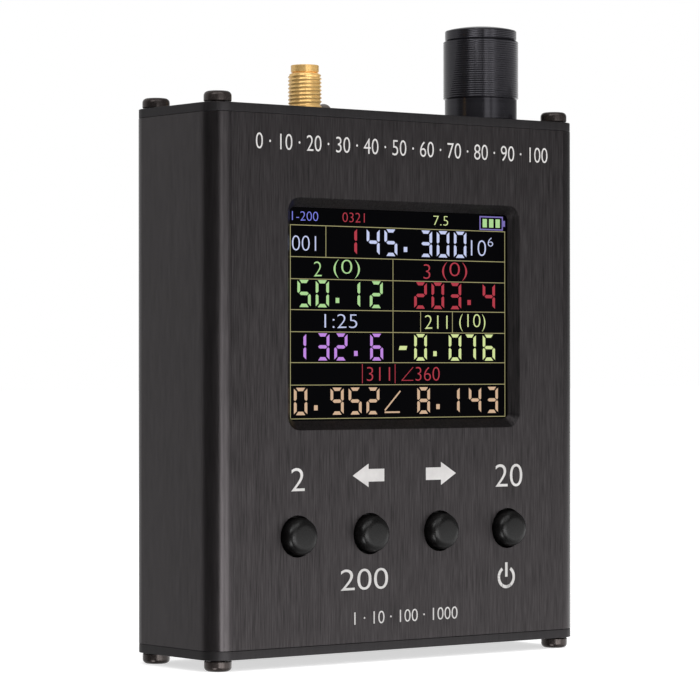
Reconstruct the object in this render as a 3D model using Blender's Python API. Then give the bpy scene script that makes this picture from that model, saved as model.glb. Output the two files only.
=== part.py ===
"""A handheld antenna analyzer: an extruded black sleeve closed by two screwed end plates.

Units are metres and +Z is up. The origin is the middle of the footprint, in the plane of the lower
screw heads, and -Y is the side with the display. Three assemblies move: four push buttons travel
into the case along +Y, and the knob turns about its own upright axis and can be pressed down.
"""

import math

import bmesh
import bpy

# Case: sleeve, end plates and the clearance that seated pieces keep. Its width and height follow
# from the display and the buttons: CASE_SIDE is what each side adds to the display's active area
CASE_SIDE = 0.01682
CASE_DEPTH = 0.0253
CASE_CORNER = 0.0039
WALL = 0.0018
PLATE_THICKNESS = 0.0014
PLATE_INSET = 0.00004
SEAT_GAP = 0.0002
OVERRUN = 0.001
WELD = 1e-7

# Screws and the channels that they cut their thread in
SCREW_INSET = 0.0033
SCREW_DIAMETER = 0.0025
SCREW_LENGTH = 0.008
SCREW_HEAD_DIAMETER = 0.0048
SCREW_HEAD_HEIGHT = 0.0018
SCREW_HEAD_ROUNDING = 0.0008
SOCKET_FLATS = 0.002
SOCKET_DEPTH = 0.0011
CHANNEL_WALL = 0.0011
CHANNEL_SLIT = 0.0009

# Board rails inside the sleeve, and the boards
BOARD_THICKNESS = 0.0016
BOARD_END_GAP = 0.0006
RAIL_REACH = 0.002
RAIL_THICKNESS = 0.0012
SPACER_DIAMETER = 0.0045
SPACER_INSET = 0.007
SHIELD_WIDTH = 0.034
SHIELD_HEIGHT = 0.026
SHIELD_CORNER = 0.001
SHIELD_SPACE_SHARE = 0.6
HEADER_LENGTH = 0.0256
HEADER_WIDTH = 0.005
HEADER_UP = 0.004
BATTERY_WIDTH = 0.05
BATTERY_HEIGHT = 0.06
BATTERY_CORNER = 0.003
BATTERY_UP = 0.012
PAD_THICKNESS = 0.0012
PAD_MARGIN = 0.006

# Display: active area, border of the panel, chamfered window and the tray that holds the panel
DISPLAY_WIDTH = 0.04896
DISPLAY_HEIGHT = 0.03672
DISPLAY_BORDER_X = 0.00567
DISPLAY_BORDER_Z = 0.003
DISPLAY_THICKNESS = 0.0024
DISPLAY_SHIFT = 0.0007
DISPLAY_DOWN = 0.0359
DISPLAY_OVER_BUTTONS = 0.0384
WINDOW_MARGIN = 0.00018
WINDOW_CHAMFER = 0.0016
WINDOW_CORNER = 0.0009
TRAY_RIM = 0.0012
TRAY_FLOOR = 0.0018
TRAY_RIM_SHARE = 0.7
FLEX_WIDTH = 0.018
FLEX_THICKNESS = 0.0003
FLEX_RUN = 0.0032

# Buttons and the switches behind them
BUTTON_COUNT = 4
BUTTON_PITCH = 0.0158
BUTTON_SHIFT = 0.0002
BUTTON_UP = 0.0206
BUTTON_DIAMETER = 0.0064
BUTTON_CLEARANCE = 0.00045
BUTTON_PROUD = 0.0023
BUTTON_ROUNDING = 0.0013
BUTTON_CROWN = 0.00015
BUTTON_FLANGE = 0.0007
BUTTON_FLANGE_REACH = 0.0008
SWITCH_SIZE = 0.006
SWITCH_CORNER = 0.0004
PLUNGER_DIAMETER = 0.0034
PLUNGER_PROUD = 0.0008
PLUNGER_DEPTH = 0.001
PLUNGER_CLEARANCE = 0.00015
BUTTON_TRAVEL = 0.00035

# Coaxial jack
JACK_INSET = 0.02885
JACK_BARREL_DIAMETER = 0.006
JACK_BARREL_HEIGHT = 0.00735
JACK_THREAD_DEPTH = 0.0005
JACK_LIP_HEIGHT = 0.0012
JACK_LIP_WALL = 0.00035
JACK_MOUTH_DEPTH = 0.0019
JACK_STEP = 0.0003
JACK_BLOCK = 0.0064
JACK_BLOCK_HEIGHT = 0.0026
JACK_LEG = 0.001
JACK_LEG_LENGTH = 0.0038
JACK_CONTACT_DIAMETER = 0.0013
JACK_CONTACT_BORE = 0.0007
JACK_CONTACT_BORE_DEPTH = 0.002
JACK_TAIL_DIAMETER = 0.0008
JACK_TAIL_LENGTH = 0.002

# Charge indicator
LAMP_OFFSET = 0.00615
LAMP_DIAMETER = 0.003
LAMP_PROUD = 0.0022
LAMP_FLANGE = 0.0004
LAMP_FLANGE_HEIGHT = 0.001
LAMP_LEAD = 0.0005
LAMP_LEAD_LENGTH = 0.005
LAMP_LEAD_PITCH = 0.00254

# Charging port
PORT_OFFSET = 0.0183
PORT_WIDTH = 0.0089
PORT_DEPTH = 0.0032
PORT_LENGTH = 0.0073
PORT_WALL = 0.0003
PORT_FLOOR = 0.0012
TONGUE_WIDTH = 0.0066
TONGUE_THICKNESS = 0.0007
TONGUE_RECESS = 0.0006

# Rotary encoder
ENCODER_INSET = 0.013
ENCODER_SIZE = 0.012
ENCODER_HEIGHT = 0.0062
ENCODER_CORNER = 0.0006
BUSHING_DIAMETER = 0.007
BUSHING_HEIGHT = 0.0045
SHAFT_DIAMETER = 0.006
SHAFT_CLEARANCE = 0.00015
SHAFT_LENGTH = 0.0125
SHAFT_FLAT_DEPTH = 0.0015
STEM_DIAMETER = 0.004
STEM_FLAT_DEPTH = 0.0006
ROTOR_DIAMETER = 0.0096
ROTOR_HEIGHT = 0.0022
COVER_THICKNESS = 0.0016
COVER_FLOOR = 0.0004
PRESS_TRAVEL = 0.0004
WASHER_THICKNESS = 0.0005
NUT_FLATS = 0.0096
NUT_THICKNESS = 0.002

# Knob
KNOB_GAP = 0.0006
KNOB_NUT_CLEARANCE = 0.00035
KNOB_SKIRT_WALL = 0.00078
KNOB_SKIRT_HEIGHT = 0.00395
KNOB_GRIP_STEP = 0.0003
KNOB_GRIP_HEIGHT = 0.0106
KNOB_RIB_PITCH = 0.0004
KNOB_RIB_DEPTH = 0.00012
KNOB_SHOULDER = 0.00035
KNOB_RING_HEIGHT = 0.0017
KNOB_RING_STEP = 0.00005
KNOB_DOME = 0.0008
KNOB_EDGE = 0.00015
KNOB_TOP_THICKNESS = 0.0022
INSERT_BASE_GAP = 0.0006

# Facets of round shapes
CORNER_STEPS = 6
SMALL_STEPS = 18
ROUND_STEPS = 28
KNOB_STEPS = 32
DOME_STEPS = 3
# Steps at each corner of a square that's lofted to a circle of ROUND_STEPS points
SQUARE_STEPS = ROUND_STEPS // 4 - 1

# Levels along Z that several pieces share
PLATE_LOW = SCREW_HEAD_HEIGHT + SEAT_GAP
BODY_LOW = PLATE_LOW + PLATE_THICKNESS + SEAT_GAP
BUTTON_Z = PLATE_LOW + BUTTON_UP
DISPLAY_Z = BUTTON_Z + DISPLAY_OVER_BUTTONS
TOP_PLATE_HIGH = DISPLAY_Z + DISPLAY_DOWN
TOP_PLATE_LOW = TOP_PLATE_HIGH - PLATE_THICKNESS
INSIDE_TOP = TOP_PLATE_LOW - SEAT_GAP
BODY_HIGH = INSIDE_TOP

# Depths along Y that several pieces share
FRONT = (BUTTON_PROUD - CASE_DEPTH) / 2
BACK = FRONT + CASE_DEPTH
MIDDLE = FRONT + CASE_DEPTH / 2
INNER_FRONT = FRONT + WALL
INNER_BACK = BACK - WALL
DISPLAY_FRONT = INNER_FRONT + SEAT_GAP
DISPLAY_BACK = DISPLAY_FRONT + DISPLAY_THICKNESS
TRAY_BACK = DISPLAY_BACK + SEAT_GAP + TRAY_FLOOR
FRONT_BOARD = TRAY_BACK + SEAT_GAP
FRONT_BOARD_BACK = FRONT_BOARD + BOARD_THICKNESS
RF_BOARD = MIDDLE + JACK_TAIL_DIAMETER / 2 + SEAT_GAP
RF_BOARD_BACK = RF_BOARD + BOARD_THICKNESS

# Places along X that several pieces share
CASE_WIDTH = DISPLAY_WIDTH + 2 * CASE_SIDE
INNER_HALF_WIDTH = CASE_WIDTH / 2 - WALL
JACK_X = JACK_INSET - CASE_WIDTH / 2
LAMP_X = JACK_X + LAMP_OFFSET
KNOB_X = CASE_WIDTH / 2 - ENCODER_INSET
PORT_X = KNOB_X - PORT_OFFSET
LAMP_Y = RF_BOARD_BACK + SEAT_GAP + LAMP_LEAD / 2
PORT_Y = RF_BOARD_BACK + SEAT_GAP + PORT_DEPTH / 2

# Encoder levels, downwards from the end plate
HOUSING_LOW = INSIDE_TOP - ENCODER_HEIGHT
ROTOR_LOW = HOUSING_LOW + SEAT_GAP
ROTOR_HIGH = ROTOR_LOW + ROTOR_HEIGHT
COVER_HIGH = HOUSING_LOW - SEAT_GAP
COVER_LOW = COVER_HIGH - COVER_THICKNESS
STEM_LOW = COVER_LOW + COVER_FLOOR + PRESS_TRAVEL + SEAT_GAP
SHAFT_LOW = ROTOR_HIGH + PRESS_TRAVEL + SEAT_GAP
BUSHING_HIGH = TOP_PLATE_HIGH + BUSHING_HEIGHT
SHAFT_HIGH = TOP_PLATE_HIGH + SHAFT_LENGTH
WASHER_LOW = TOP_PLATE_HIGH + SEAT_GAP
NUT_LOW = WASHER_LOW + WASHER_THICKNESS + SEAT_GAP

# Knob sizes, outwards from the nut that its hollow clears
NUT_RADIUS = NUT_FLATS / 2 / math.cos(math.pi / 6)
KNOB_BORE = NUT_RADIUS + KNOB_NUT_CLEARANCE
SKIRT_RADIUS = KNOB_BORE + KNOB_SKIRT_WALL
GRIP_RADIUS = SKIRT_RADIUS + KNOB_GRIP_STEP
RING_RADIUS = SKIRT_RADIUS - KNOB_RING_STEP
KNOB_LOW = TOP_PLATE_HIGH + KNOB_GAP
GRIP_LOW = KNOB_LOW + KNOB_SKIRT_HEIGHT
GRIP_HIGH = GRIP_LOW + KNOB_GRIP_HEIGHT
RING_LOW = GRIP_HIGH + KNOB_SHOULDER
RING_HIGH = RING_LOW + KNOB_RING_HEIGHT
BORE_HIGH = RING_HIGH - KNOB_TOP_THICKNESS
INSERT_LOW = BUSHING_HIGH + PRESS_TRAVEL + INSERT_BASE_GAP

BUTTON_RADIUS = BUTTON_DIAMETER / 2
CHANNEL_RADIUS = SCREW_DIAMETER / 2 + SEAT_GAP
BOSS_RADIUS = CHANNEL_RADIUS + CHANNEL_WALL
FACING_FRONT = (math.pi / 2, 0.0, 0.0)

FINISHES = {
    "anodised_black": ((0.032, 0.031, 0.031), 0.42, 0.85),
    "plate_black": ((0.026, 0.025, 0.026), 0.45, 0.85),
    "knob_black": ((0.02, 0.02, 0.021), 0.3, 0.9),
    "screw_black": ((0.018, 0.014, 0.013), 0.35, 0.8),
    "gold": ((0.78, 0.53, 0.19), 0.25, 1.0),
    "white_insulator": ((0.83, 0.82, 0.78), 0.5, 0.0),
    "button_black": ((0.028, 0.027, 0.027), 0.4, 0.0),
    "display_black": ((0.004, 0.004, 0.005), 0.12, 0.0),
    "dark_plastic": ((0.02, 0.02, 0.02), 0.5, 0.0),
    "board_green": ((0.01, 0.12, 0.05), 0.35, 0.0),
    "steel": ((0.55, 0.55, 0.54), 0.3, 1.0),
    "lamp_lens": ((0.12, 0.1, 0.09), 0.2, 0.0),
    "battery_foil": ((0.6, 0.61, 0.63), 0.35, 0.8),
    "grey_foam": ((0.13, 0.13, 0.13), 0.9, 0.0),
    "amber_film": ((0.5, 0.25, 0.05), 0.35, 0.0),
}


def clear_scene():
    for old in list(bpy.data.objects):
        bpy.data.objects.remove(old, do_unlink=True)


def finish_material(name):
    """The Principled material of a finish, made once."""
    if name in bpy.data.materials:
        return bpy.data.materials[name]
    colour, roughness, metallic = FINISHES[name]
    material = bpy.data.materials.new(name)
    material.use_nodes = True
    shader = material.node_tree.nodes["Principled BSDF"]
    shader.inputs["Base Color"].default_value = (*colour, 1.0)
    shader.inputs["Roughness"].default_value = roughness
    shader.inputs["Metallic"].default_value = metallic
    return material


def empty(name, place):
    """A guide that moving or front-facing pieces hang on."""
    guide = bpy.data.objects.new(name, None)
    guide.location = place
    bpy.context.scene.collection.objects.link(guide)
    return guide


def as_object(name, bm, finish=None, place=(0.0, 0.0, 0.0), turn=(0.0, 0.0, 0.0), parent=None):
    """Closes a bmesh into a named object with outward faces and smooth round sides."""
    bmesh.ops.recalc_face_normals(bm, faces=bm.faces)
    mesh = bpy.data.meshes.new(name)
    bm.to_mesh(mesh)
    bm.free()
    mesh.shade_smooth()
    mesh.set_sharp_from_angle(angle=math.radians(35))
    made = bpy.data.objects.new(name, mesh)
    bpy.context.scene.collection.objects.link(made)
    made.location = place
    made.rotation_euler = turn
    made.parent = parent
    if finish:
        mesh.materials.append(finish_material(finish))
    return made


def circle(radius, z, steps=SMALL_STEPS, x=0.0, y=0.0):
    angles = [2 * math.pi * i / steps for i in range(steps)]
    return [(x + radius * math.cos(a), y + radius * math.sin(a), z) for a in angles]


def hexagon(flats, z, steps=SMALL_STEPS):
    """A hexagon drawn with as many points as the circle that it is lofted to."""
    points = []
    for i in range(steps):
        angle = 2 * math.pi * i / steps
        off_corner = math.fmod(angle, math.pi / 3) - math.pi / 6
        radius = flats / 2 / math.cos(off_corner)
        points.append((radius * math.cos(angle), radius * math.sin(angle), z))
    return points


def d_shape(radius, flat_depth, z, steps=SMALL_STEPS):
    """A circle with one flat, as on a knob shaft."""
    return [(x, min(y, radius - flat_depth), z) for x, y, z in circle(radius, z, steps)]


def rounded(width, depth, corner, z, x=0.0, y=0.0, steps=CORNER_STEPS):
    """A rectangle with round corners, anticlockwise from the corner at +X, +Y."""
    points = []
    centres = ((1, 1), (-1, 1), (-1, -1), (1, -1))
    for quarter, (side_x, side_y) in enumerate(centres):
        for i in range(steps + 1):
            angle = math.pi / 2 * (quarter + i / steps)
            points.append((
                x + side_x * (width / 2 - corner) + corner * math.cos(angle),
                y + side_y * (depth / 2 - corner) + corner * math.sin(angle),
                z,
            ))
    return points


def add_loft(bm, loops, ring=False):
    """Joins loops of equal count with quads. The ends are capped, or joined to each other in a ring."""
    rows = [[bm.verts.new(point) for point in loop] for loop in loops]
    count = len(rows[0])
    pairs = list(zip(rows, rows[1:]))
    if ring:
        pairs.append((rows[-1], rows[0]))
    else:
        bm.faces.new(rows[0])
        bm.faces.new(rows[-1])
    for low, high in pairs:
        for i in range(count):
            j = (i + 1) % count
            bm.faces.new((low[i], low[j], high[j], high[i]))


def loft(name, loops, ring=False, **where):
    bm = bmesh.new()
    add_loft(bm, loops, ring)
    return as_object(name, bm, **where)


def lofts(name, shapes, **where):
    """Several separate closed shapes in one object, for cutters and for joins."""
    bm = bmesh.new()
    for loops in shapes:
        add_loft(bm, loops)
    return as_object(name, bm, **where)


def turned(name, profile, steps=SMALL_STEPS, **where):
    """Spins a profile of (radius, height) points about Z. Its two ends lie on the axis or meet."""
    bm = bmesh.new()
    points = [bm.verts.new((radius, 0.0, height)) for radius, height in profile]
    edges = [bm.edges.new(pair) for pair in zip(points, points[1:])]
    if profile[0][0] > 0.0:
        edges.append(bm.edges.new((points[-1], points[0])))
    bmesh.ops.spin(
        bm, geom=points + edges, cent=(0.0, 0.0, 0.0), axis=(0.0, 0.0, 1.0),
        angle=2 * math.pi, steps=steps, use_merge=True,
    )
    bmesh.ops.remove_doubles(bm, verts=bm.verts, dist=WELD)
    return as_object(name, bm, **where)


def plate(name, outline, holes, low, high, **where):
    """A flat piece with holes, filled between its outlines and extruded from low to high."""
    bm = bmesh.new()
    edges = []
    for loop in [outline, *holes]:
        points = [bm.verts.new((x, y, low)) for x, y, _ in loop]
        edges += [bm.edges.new((a, points[(i + 1) % len(points)])) for i, a in enumerate(points)]
    bmesh.ops.triangle_fill(bm, use_beauty=True, use_dissolve=False, edges=edges)
    grown = bmesh.ops.extrude_face_region(bm, geom=bm.faces[:] + bm.edges[:] + bm.verts[:])
    lifted = [item for item in grown["geom"] if isinstance(item, bmesh.types.BMVert)]
    bmesh.ops.translate(bm, verts=lifted, vec=(0.0, 0.0, high - low))
    return as_object(name, bm, **where)


def box_loops(low, high):
    """The two loops of an upright box."""
    (x0, y0, z0), (x1, y1, z1) = low, high
    corners = ((x1, y1), (x0, y1), (x0, y0), (x1, y0))
    return [[(x, y, z) for x, y in corners] for z in (z0, z1)]


def combine(target, tool, operation):
    """Cuts or joins a helper object, which itself is left out of the model."""
    change = target.modifiers.new(tool.name, "BOOLEAN")
    change.operation = operation
    change.solver = "EXACT"
    change.object = tool
    tool.hide_render = True
    tool.display_type = "WIRE"


def quarter_arc(centre_radius, centre_height, rounding, start, end, steps=DOME_STEPS):
    """Points of an arc in a turned profile, between two angles in quarter turns."""
    points = []
    for i in range(steps + 1):
        angle = math.pi / 2 * (start + (end - start) * i / steps)
        across = centre_radius + rounding * math.cos(angle)
        points.append((across, centre_height + rounding * math.sin(angle)))
    return points


def corner_places():
    """X and Y of the four screws, front left first and then clockwise seen from above."""
    x = CASE_WIDTH / 2 - SCREW_INSET
    front, back = FRONT + SCREW_INSET, BACK - SCREW_INSET
    return [(-x, front), (-x, back), (x, back), (x, front)]


def button_places():
    first = BUTTON_SHIFT - BUTTON_PITCH * (BUTTON_COUNT - 1) / 2
    return [first + BUTTON_PITCH * i for i in range(BUTTON_COUNT)]


def case_body():
    """The extruded sleeve: rails and screw channels inside, window and button holes in front."""
    low, high = BODY_LOW - OVERRUN, BODY_HIGH + OVERRUN
    inner = (CASE_WIDTH - 2 * WALL, CASE_DEPTH - 2 * WALL, max(CASE_CORNER - WALL, SEAT_GAP))
    body = loft(
        "case_body",
        [
            rounded(CASE_WIDTH, CASE_DEPTH, CASE_CORNER, low, y=MIDDLE),
            rounded(CASE_WIDTH, CASE_DEPTH, CASE_CORNER, high, y=MIDDLE),
            rounded(*inner, high, y=MIDDLE),
            rounded(*inner, low, y=MIDDLE),
        ],
        ring=True, finish="anodised_black",
    )
    combine(body, sleeve_rails(low - OVERRUN, high + OVERRUN), "UNION")
    combine(body, sleeve_bosses(low - OVERRUN, high + OVERRUN), "UNION")
    combine(body, sleeve_length(), "INTERSECT")
    combine(body, screw_channels(), "DIFFERENCE")
    combine(body, window_cutter(), "DIFFERENCE")
    combine(body, button_holes(), "DIFFERENCE")
    return body


def sleeve_rails(low, high):
    """Two pairs of rails on each side wall, one pair along each board's edge."""
    shapes = []
    for side in (-1, 1):
        root = side * (INNER_HALF_WIDTH + WALL / 2)
        tip = side * (INNER_HALF_WIDTH - RAIL_REACH)
        for face in (FRONT_BOARD, RF_BOARD):
            before = face - SEAT_GAP
            after = face + BOARD_THICKNESS + SEAT_GAP
            for y0, y1 in ((before - RAIL_THICKNESS, before), (after, after + RAIL_THICKNESS)):
                shapes.append(box_loops((min(root, tip), y0, low), (max(root, tip), y1, high)))
    return lofts("join_rails", shapes)


def sleeve_bosses(low, high):
    """A round boss in each corner, which the screw channel runs down."""
    shapes = [[circle(BOSS_RADIUS, z, x=x, y=y) for z in (low, high)] for x, y in corner_places()]
    return lofts("join_bosses", shapes)


def sleeve_length():
    low = (-CASE_WIDTH, MIDDLE - CASE_DEPTH, BODY_LOW)
    high = (CASE_WIDTH, MIDDLE + CASE_DEPTH, BODY_HIGH)
    return lofts("cut_length", [box_loops(low, high)])


def screw_channels():
    """A keyhole down each corner boss: the screw's channel and the slit that opens it inwards."""
    low, high = BODY_LOW - OVERRUN, BODY_HIGH + OVERRUN
    shapes = [[keyhole(x, y, z) for z in (low, high)] for x, y in corner_places()]
    return lofts("cut_channels", shapes)


def keyhole(x, y, z):
    """A circle that runs on as a slit, at 45 degrees towards the middle of the case."""
    inwards = math.atan2(math.copysign(x, MIDDLE - y), -x)
    mouth = math.asin(CHANNEL_SLIT / 2 / CHANNEL_RADIUS)
    arc = 2 * math.pi - 2 * mouth
    points = []
    for i in range(SMALL_STEPS + 1):
        angle = inwards + mouth + arc * i / SMALL_STEPS
        points.append((x + CHANNEL_RADIUS * math.cos(angle), y + CHANNEL_RADIUS * math.sin(angle), z))
    reach = BOSS_RADIUS + OVERRUN
    for side in (-1, 1):
        along, across = reach, side * CHANNEL_SLIT / 2
        points.append((
            x + along * math.cos(inwards) - across * math.sin(inwards),
            y + along * math.sin(inwards) + across * math.cos(inwards),
            z,
        ))
    return points


def window_cutter():
    """The display opening, which narrows into the wall with a 45 degree chamfer."""
    loops = []
    for depth in (-OVERRUN, WINDOW_CHAMFER, WINDOW_CHAMFER + WALL):
        grow = max(WINDOW_CHAMFER - depth, 0.0)
        margin = 2 * (WINDOW_MARGIN + grow)
        width, height = DISPLAY_WIDTH + margin, DISPLAY_HEIGHT + margin
        loops.append(rounded(width, height, WINDOW_CORNER + grow, -depth))
    return loft("cut_window", loops, place=(DISPLAY_SHIFT, FRONT, DISPLAY_Z), turn=FACING_FRONT)


def button_holes():
    radius = BUTTON_RADIUS + BUTTON_CLEARANCE
    shapes = [
        [circle(radius, z, ROUND_STEPS, x=x) for z in (-WALL - OVERRUN, OVERRUN)] for x in button_places()
    ]
    return lofts("cut_button_holes", shapes, place=(0.0, FRONT, BUTTON_Z), turn=FACING_FRONT)


def end_plate_outline():
    grow = -2 * PLATE_INSET
    return rounded(CASE_WIDTH + grow, CASE_DEPTH + grow, CASE_CORNER - PLATE_INSET, 0.0, y=MIDDLE)


def screw_holes():
    return [circle(CHANNEL_RADIUS, 0.0, x=x, y=y) for x, y in corner_places()]


def end_plates():
    """The bottom plate has only its screw holes. The top one lets the jack, lamp, port and knob out."""
    low_levels = (PLATE_LOW, PLATE_LOW + PLATE_THICKNESS)
    plate("bottom_plate", end_plate_outline(), screw_holes(), *low_levels, finish="plate_black")
    port_slot = rounded(
        PORT_WIDTH + 2 * SEAT_GAP, PORT_DEPTH + 2 * SEAT_GAP, PORT_DEPTH / 2, 0.0, x=PORT_X, y=PORT_Y
    )
    holes = screw_holes() + [
        circle(JACK_BARREL_DIAMETER / 2 + SEAT_GAP, 0.0, ROUND_STEPS, x=JACK_X, y=MIDDLE),
        circle(LAMP_DIAMETER / 2 + SEAT_GAP, 0.0, x=LAMP_X, y=LAMP_Y),
        port_slot,
        circle(BUSHING_DIAMETER / 2 + SEAT_GAP, 0.0, ROUND_STEPS, x=KNOB_X, y=MIDDLE),
    ]
    plate("top_plate", end_plate_outline(), holes, TOP_PLATE_LOW, TOP_PLATE_HIGH, finish="plate_black")


def screw_loops():
    """A socket cap screw, head up, with the underside of its head at z = 0."""
    shank, head = SCREW_DIAMETER / 2, SCREW_HEAD_DIAMETER / 2
    rounding = SCREW_HEAD_ROUNDING
    rim = quarter_arc(head - rounding, SCREW_HEAD_HEIGHT - rounding, rounding, 0, 1)
    loops = [circle(shank, -SCREW_LENGTH), circle(shank, 0.0), circle(head, 0.0)]
    loops += [circle(radius, height) for radius, height in rim]
    loops += [hexagon(SOCKET_FLATS, SCREW_HEAD_HEIGHT - depth) for depth in (0.0, SOCKET_DEPTH)]
    return loops


def screws():
    """Four screws in each end plate. All eight share one mesh, and the lower ones hang head down."""
    shared = None
    rows = (
        ("top_screw", TOP_PLATE_HIGH + SEAT_GAP, (0.0, 0.0, 0.0)),
        ("bottom_screw", PLATE_LOW - SEAT_GAP, (math.pi, 0.0, 0.0)),
    )
    for row, height, turn in rows:
        for number, (x, y) in enumerate(corner_places(), 1):
            name = f"{row}_{number}"
            if shared is None:
                where = {"place": (x, y, height), "turn": turn}
                shared = loft(name, screw_loops(), finish="screw_black", **where).data
                continue
            screw = bpy.data.objects.new(name, shared)
            screw.location = (x, y, height)
            screw.rotation_euler = turn
            bpy.context.scene.collection.objects.link(screw)


def display():
    """The panel behind the window, the tray that holds it to its board, and its ribbon."""
    width = DISPLAY_WIDTH + 2 * DISPLAY_BORDER_X
    height = DISPLAY_HEIGHT + 2 * DISPLAY_BORDER_Z
    centre = empty("display_centre", (DISPLAY_SHIFT, FRONT, DISPLAY_Z))
    where = {"turn": FACING_FRONT, "parent": centre}
    front = FRONT - DISPLAY_FRONT
    back = FRONT - DISPLAY_BACK
    loft(
        "display_panel",
        [rounded(width, height, WINDOW_CORNER, z) for z in (back, front)],
        finish="display_black", **where,
    )
    floor_back = FRONT - TRAY_BACK
    rim_front = back + DISPLAY_THICKNESS * TRAY_RIM_SHARE
    inside = (width + 2 * SEAT_GAP, height + 2 * SEAT_GAP, WINDOW_CORNER)
    outside = (inside[0] + 2 * TRAY_RIM, inside[1] + 2 * TRAY_RIM, WINDOW_CORNER + TRAY_RIM)
    tray = loft(
        "display_tray",
        [
            rounded(*outside, floor_back),
            rounded(*outside, rim_front),
            rounded(*inside, rim_front),
            rounded(*inside, back - SEAT_GAP),
        ],
        finish="dark_plastic", **where,
    )
    rim_outside = outside[0] / 2
    ribbon_gate(tray, -rim_outside, rim_front, back, centre)
    ribbon(-width / 2, rim_outside, back, centre)


def ribbon_gate(tray, edge, rim_front, back, centre):
    """The slot in the tray's rim that the ribbon leaves through."""
    half = FLEX_WIDTH / 2 + SEAT_GAP
    low = (edge - OVERRUN, -half, back)
    high = (edge + TRAY_RIM + SEAT_GAP / 2, half, rim_front + OVERRUN)
    gate = lofts("cut_ribbon_gate", [box_loops(low, high)], turn=FACING_FRONT, parent=centre)
    combine(tray, gate, "DIFFERENCE")


def ribbon(panel_edge, rim_outside, back, centre):
    """A flat cable from the panel's side, out through the tray and down onto the front board."""
    t = FLEX_THICKNESS
    start = panel_edge - SEAT_GAP
    drop = -rim_outside - SEAT_GAP - t
    level = back + SEAT_GAP + t
    board = FRONT - FRONT_BOARD + SEAT_GAP
    far = drop - FLEX_RUN
    outline = [
        (start, level), (start, level + t), (drop, level + t), (drop, board + t), (far, board + t),
        (far, board), (drop + t, board), (drop + t, level),
    ]
    half = FLEX_WIDTH / 2
    loops = [[(x, y, z) for x, z in outline] for y in (-half, half)]
    loft("display_ribbon", loops, finish="amber_film", turn=FACING_FRONT, parent=centre)


def button_cap_profile():
    """Radius and height of a push button from its flange to its crown, above the case's face."""
    back = -WALL - SEAT_GAP
    flange = BUTTON_RADIUS + BUTTON_FLANGE_REACH
    edge = BUTTON_PROUD - BUTTON_CROWN - BUTTON_ROUNDING
    rim = quarter_arc(BUTTON_RADIUS - BUTTON_ROUNDING, edge, BUTTON_ROUNDING, 0, 1)
    return [
        (0.0, back - BUTTON_FLANGE), (flange, back - BUTTON_FLANGE),
        (flange, back), (BUTTON_RADIUS, back),
        *rim, (0.0, BUTTON_PROUD),
    ]


def switch_front():
    """How far the switch's face lies behind the front of the case."""
    return WALL + SEAT_GAP + BUTTON_FLANGE + SEAT_GAP + PLUNGER_PROUD


def buttons():
    """Four caps, each on the plunger of its own switch. A cap and its plunger travel together."""
    board_face = FRONT_BOARD - FRONT - SEAT_GAP
    face = switch_front()
    bore = PLUNGER_DIAMETER / 2 + PLUNGER_CLEARANCE
    depth = PLUNGER_DEPTH + PLUNGER_PROUD
    for number, x in enumerate(button_places(), 1):
        axis = empty(f"button_axis_{number}", (x, FRONT, BUTTON_Z))
        where = {"turn": FACING_FRONT, "parent": axis}
        turned(f"button_cap_{number}", button_cap_profile(), ROUND_STEPS, finish="button_black", **where)
        tip = PLUNGER_PROUD - face
        plunger = PLUNGER_DIAMETER / 2
        turned(
            f"switch_plunger_{number}",
            [(0.0, tip - depth), (plunger, tip - depth), (plunger, tip), (0.0, tip)],
            finish="dark_plastic", **where,
        )
        body = loft(
            f"switch_body_{number}",
            [rounded(SWITCH_SIZE, SWITCH_SIZE, SWITCH_CORNER, z) for z in (-board_face, -face)],
            finish="steel", **where,
        )
        well = lofts(
            f"cut_switch_{number}",
            [[circle(bore, z) for z in (tip - depth - BUTTON_TRAVEL - SEAT_GAP, OVERRUN - face)]],
            **where,
        )
        combine(body, well, "DIFFERENCE")


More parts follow.
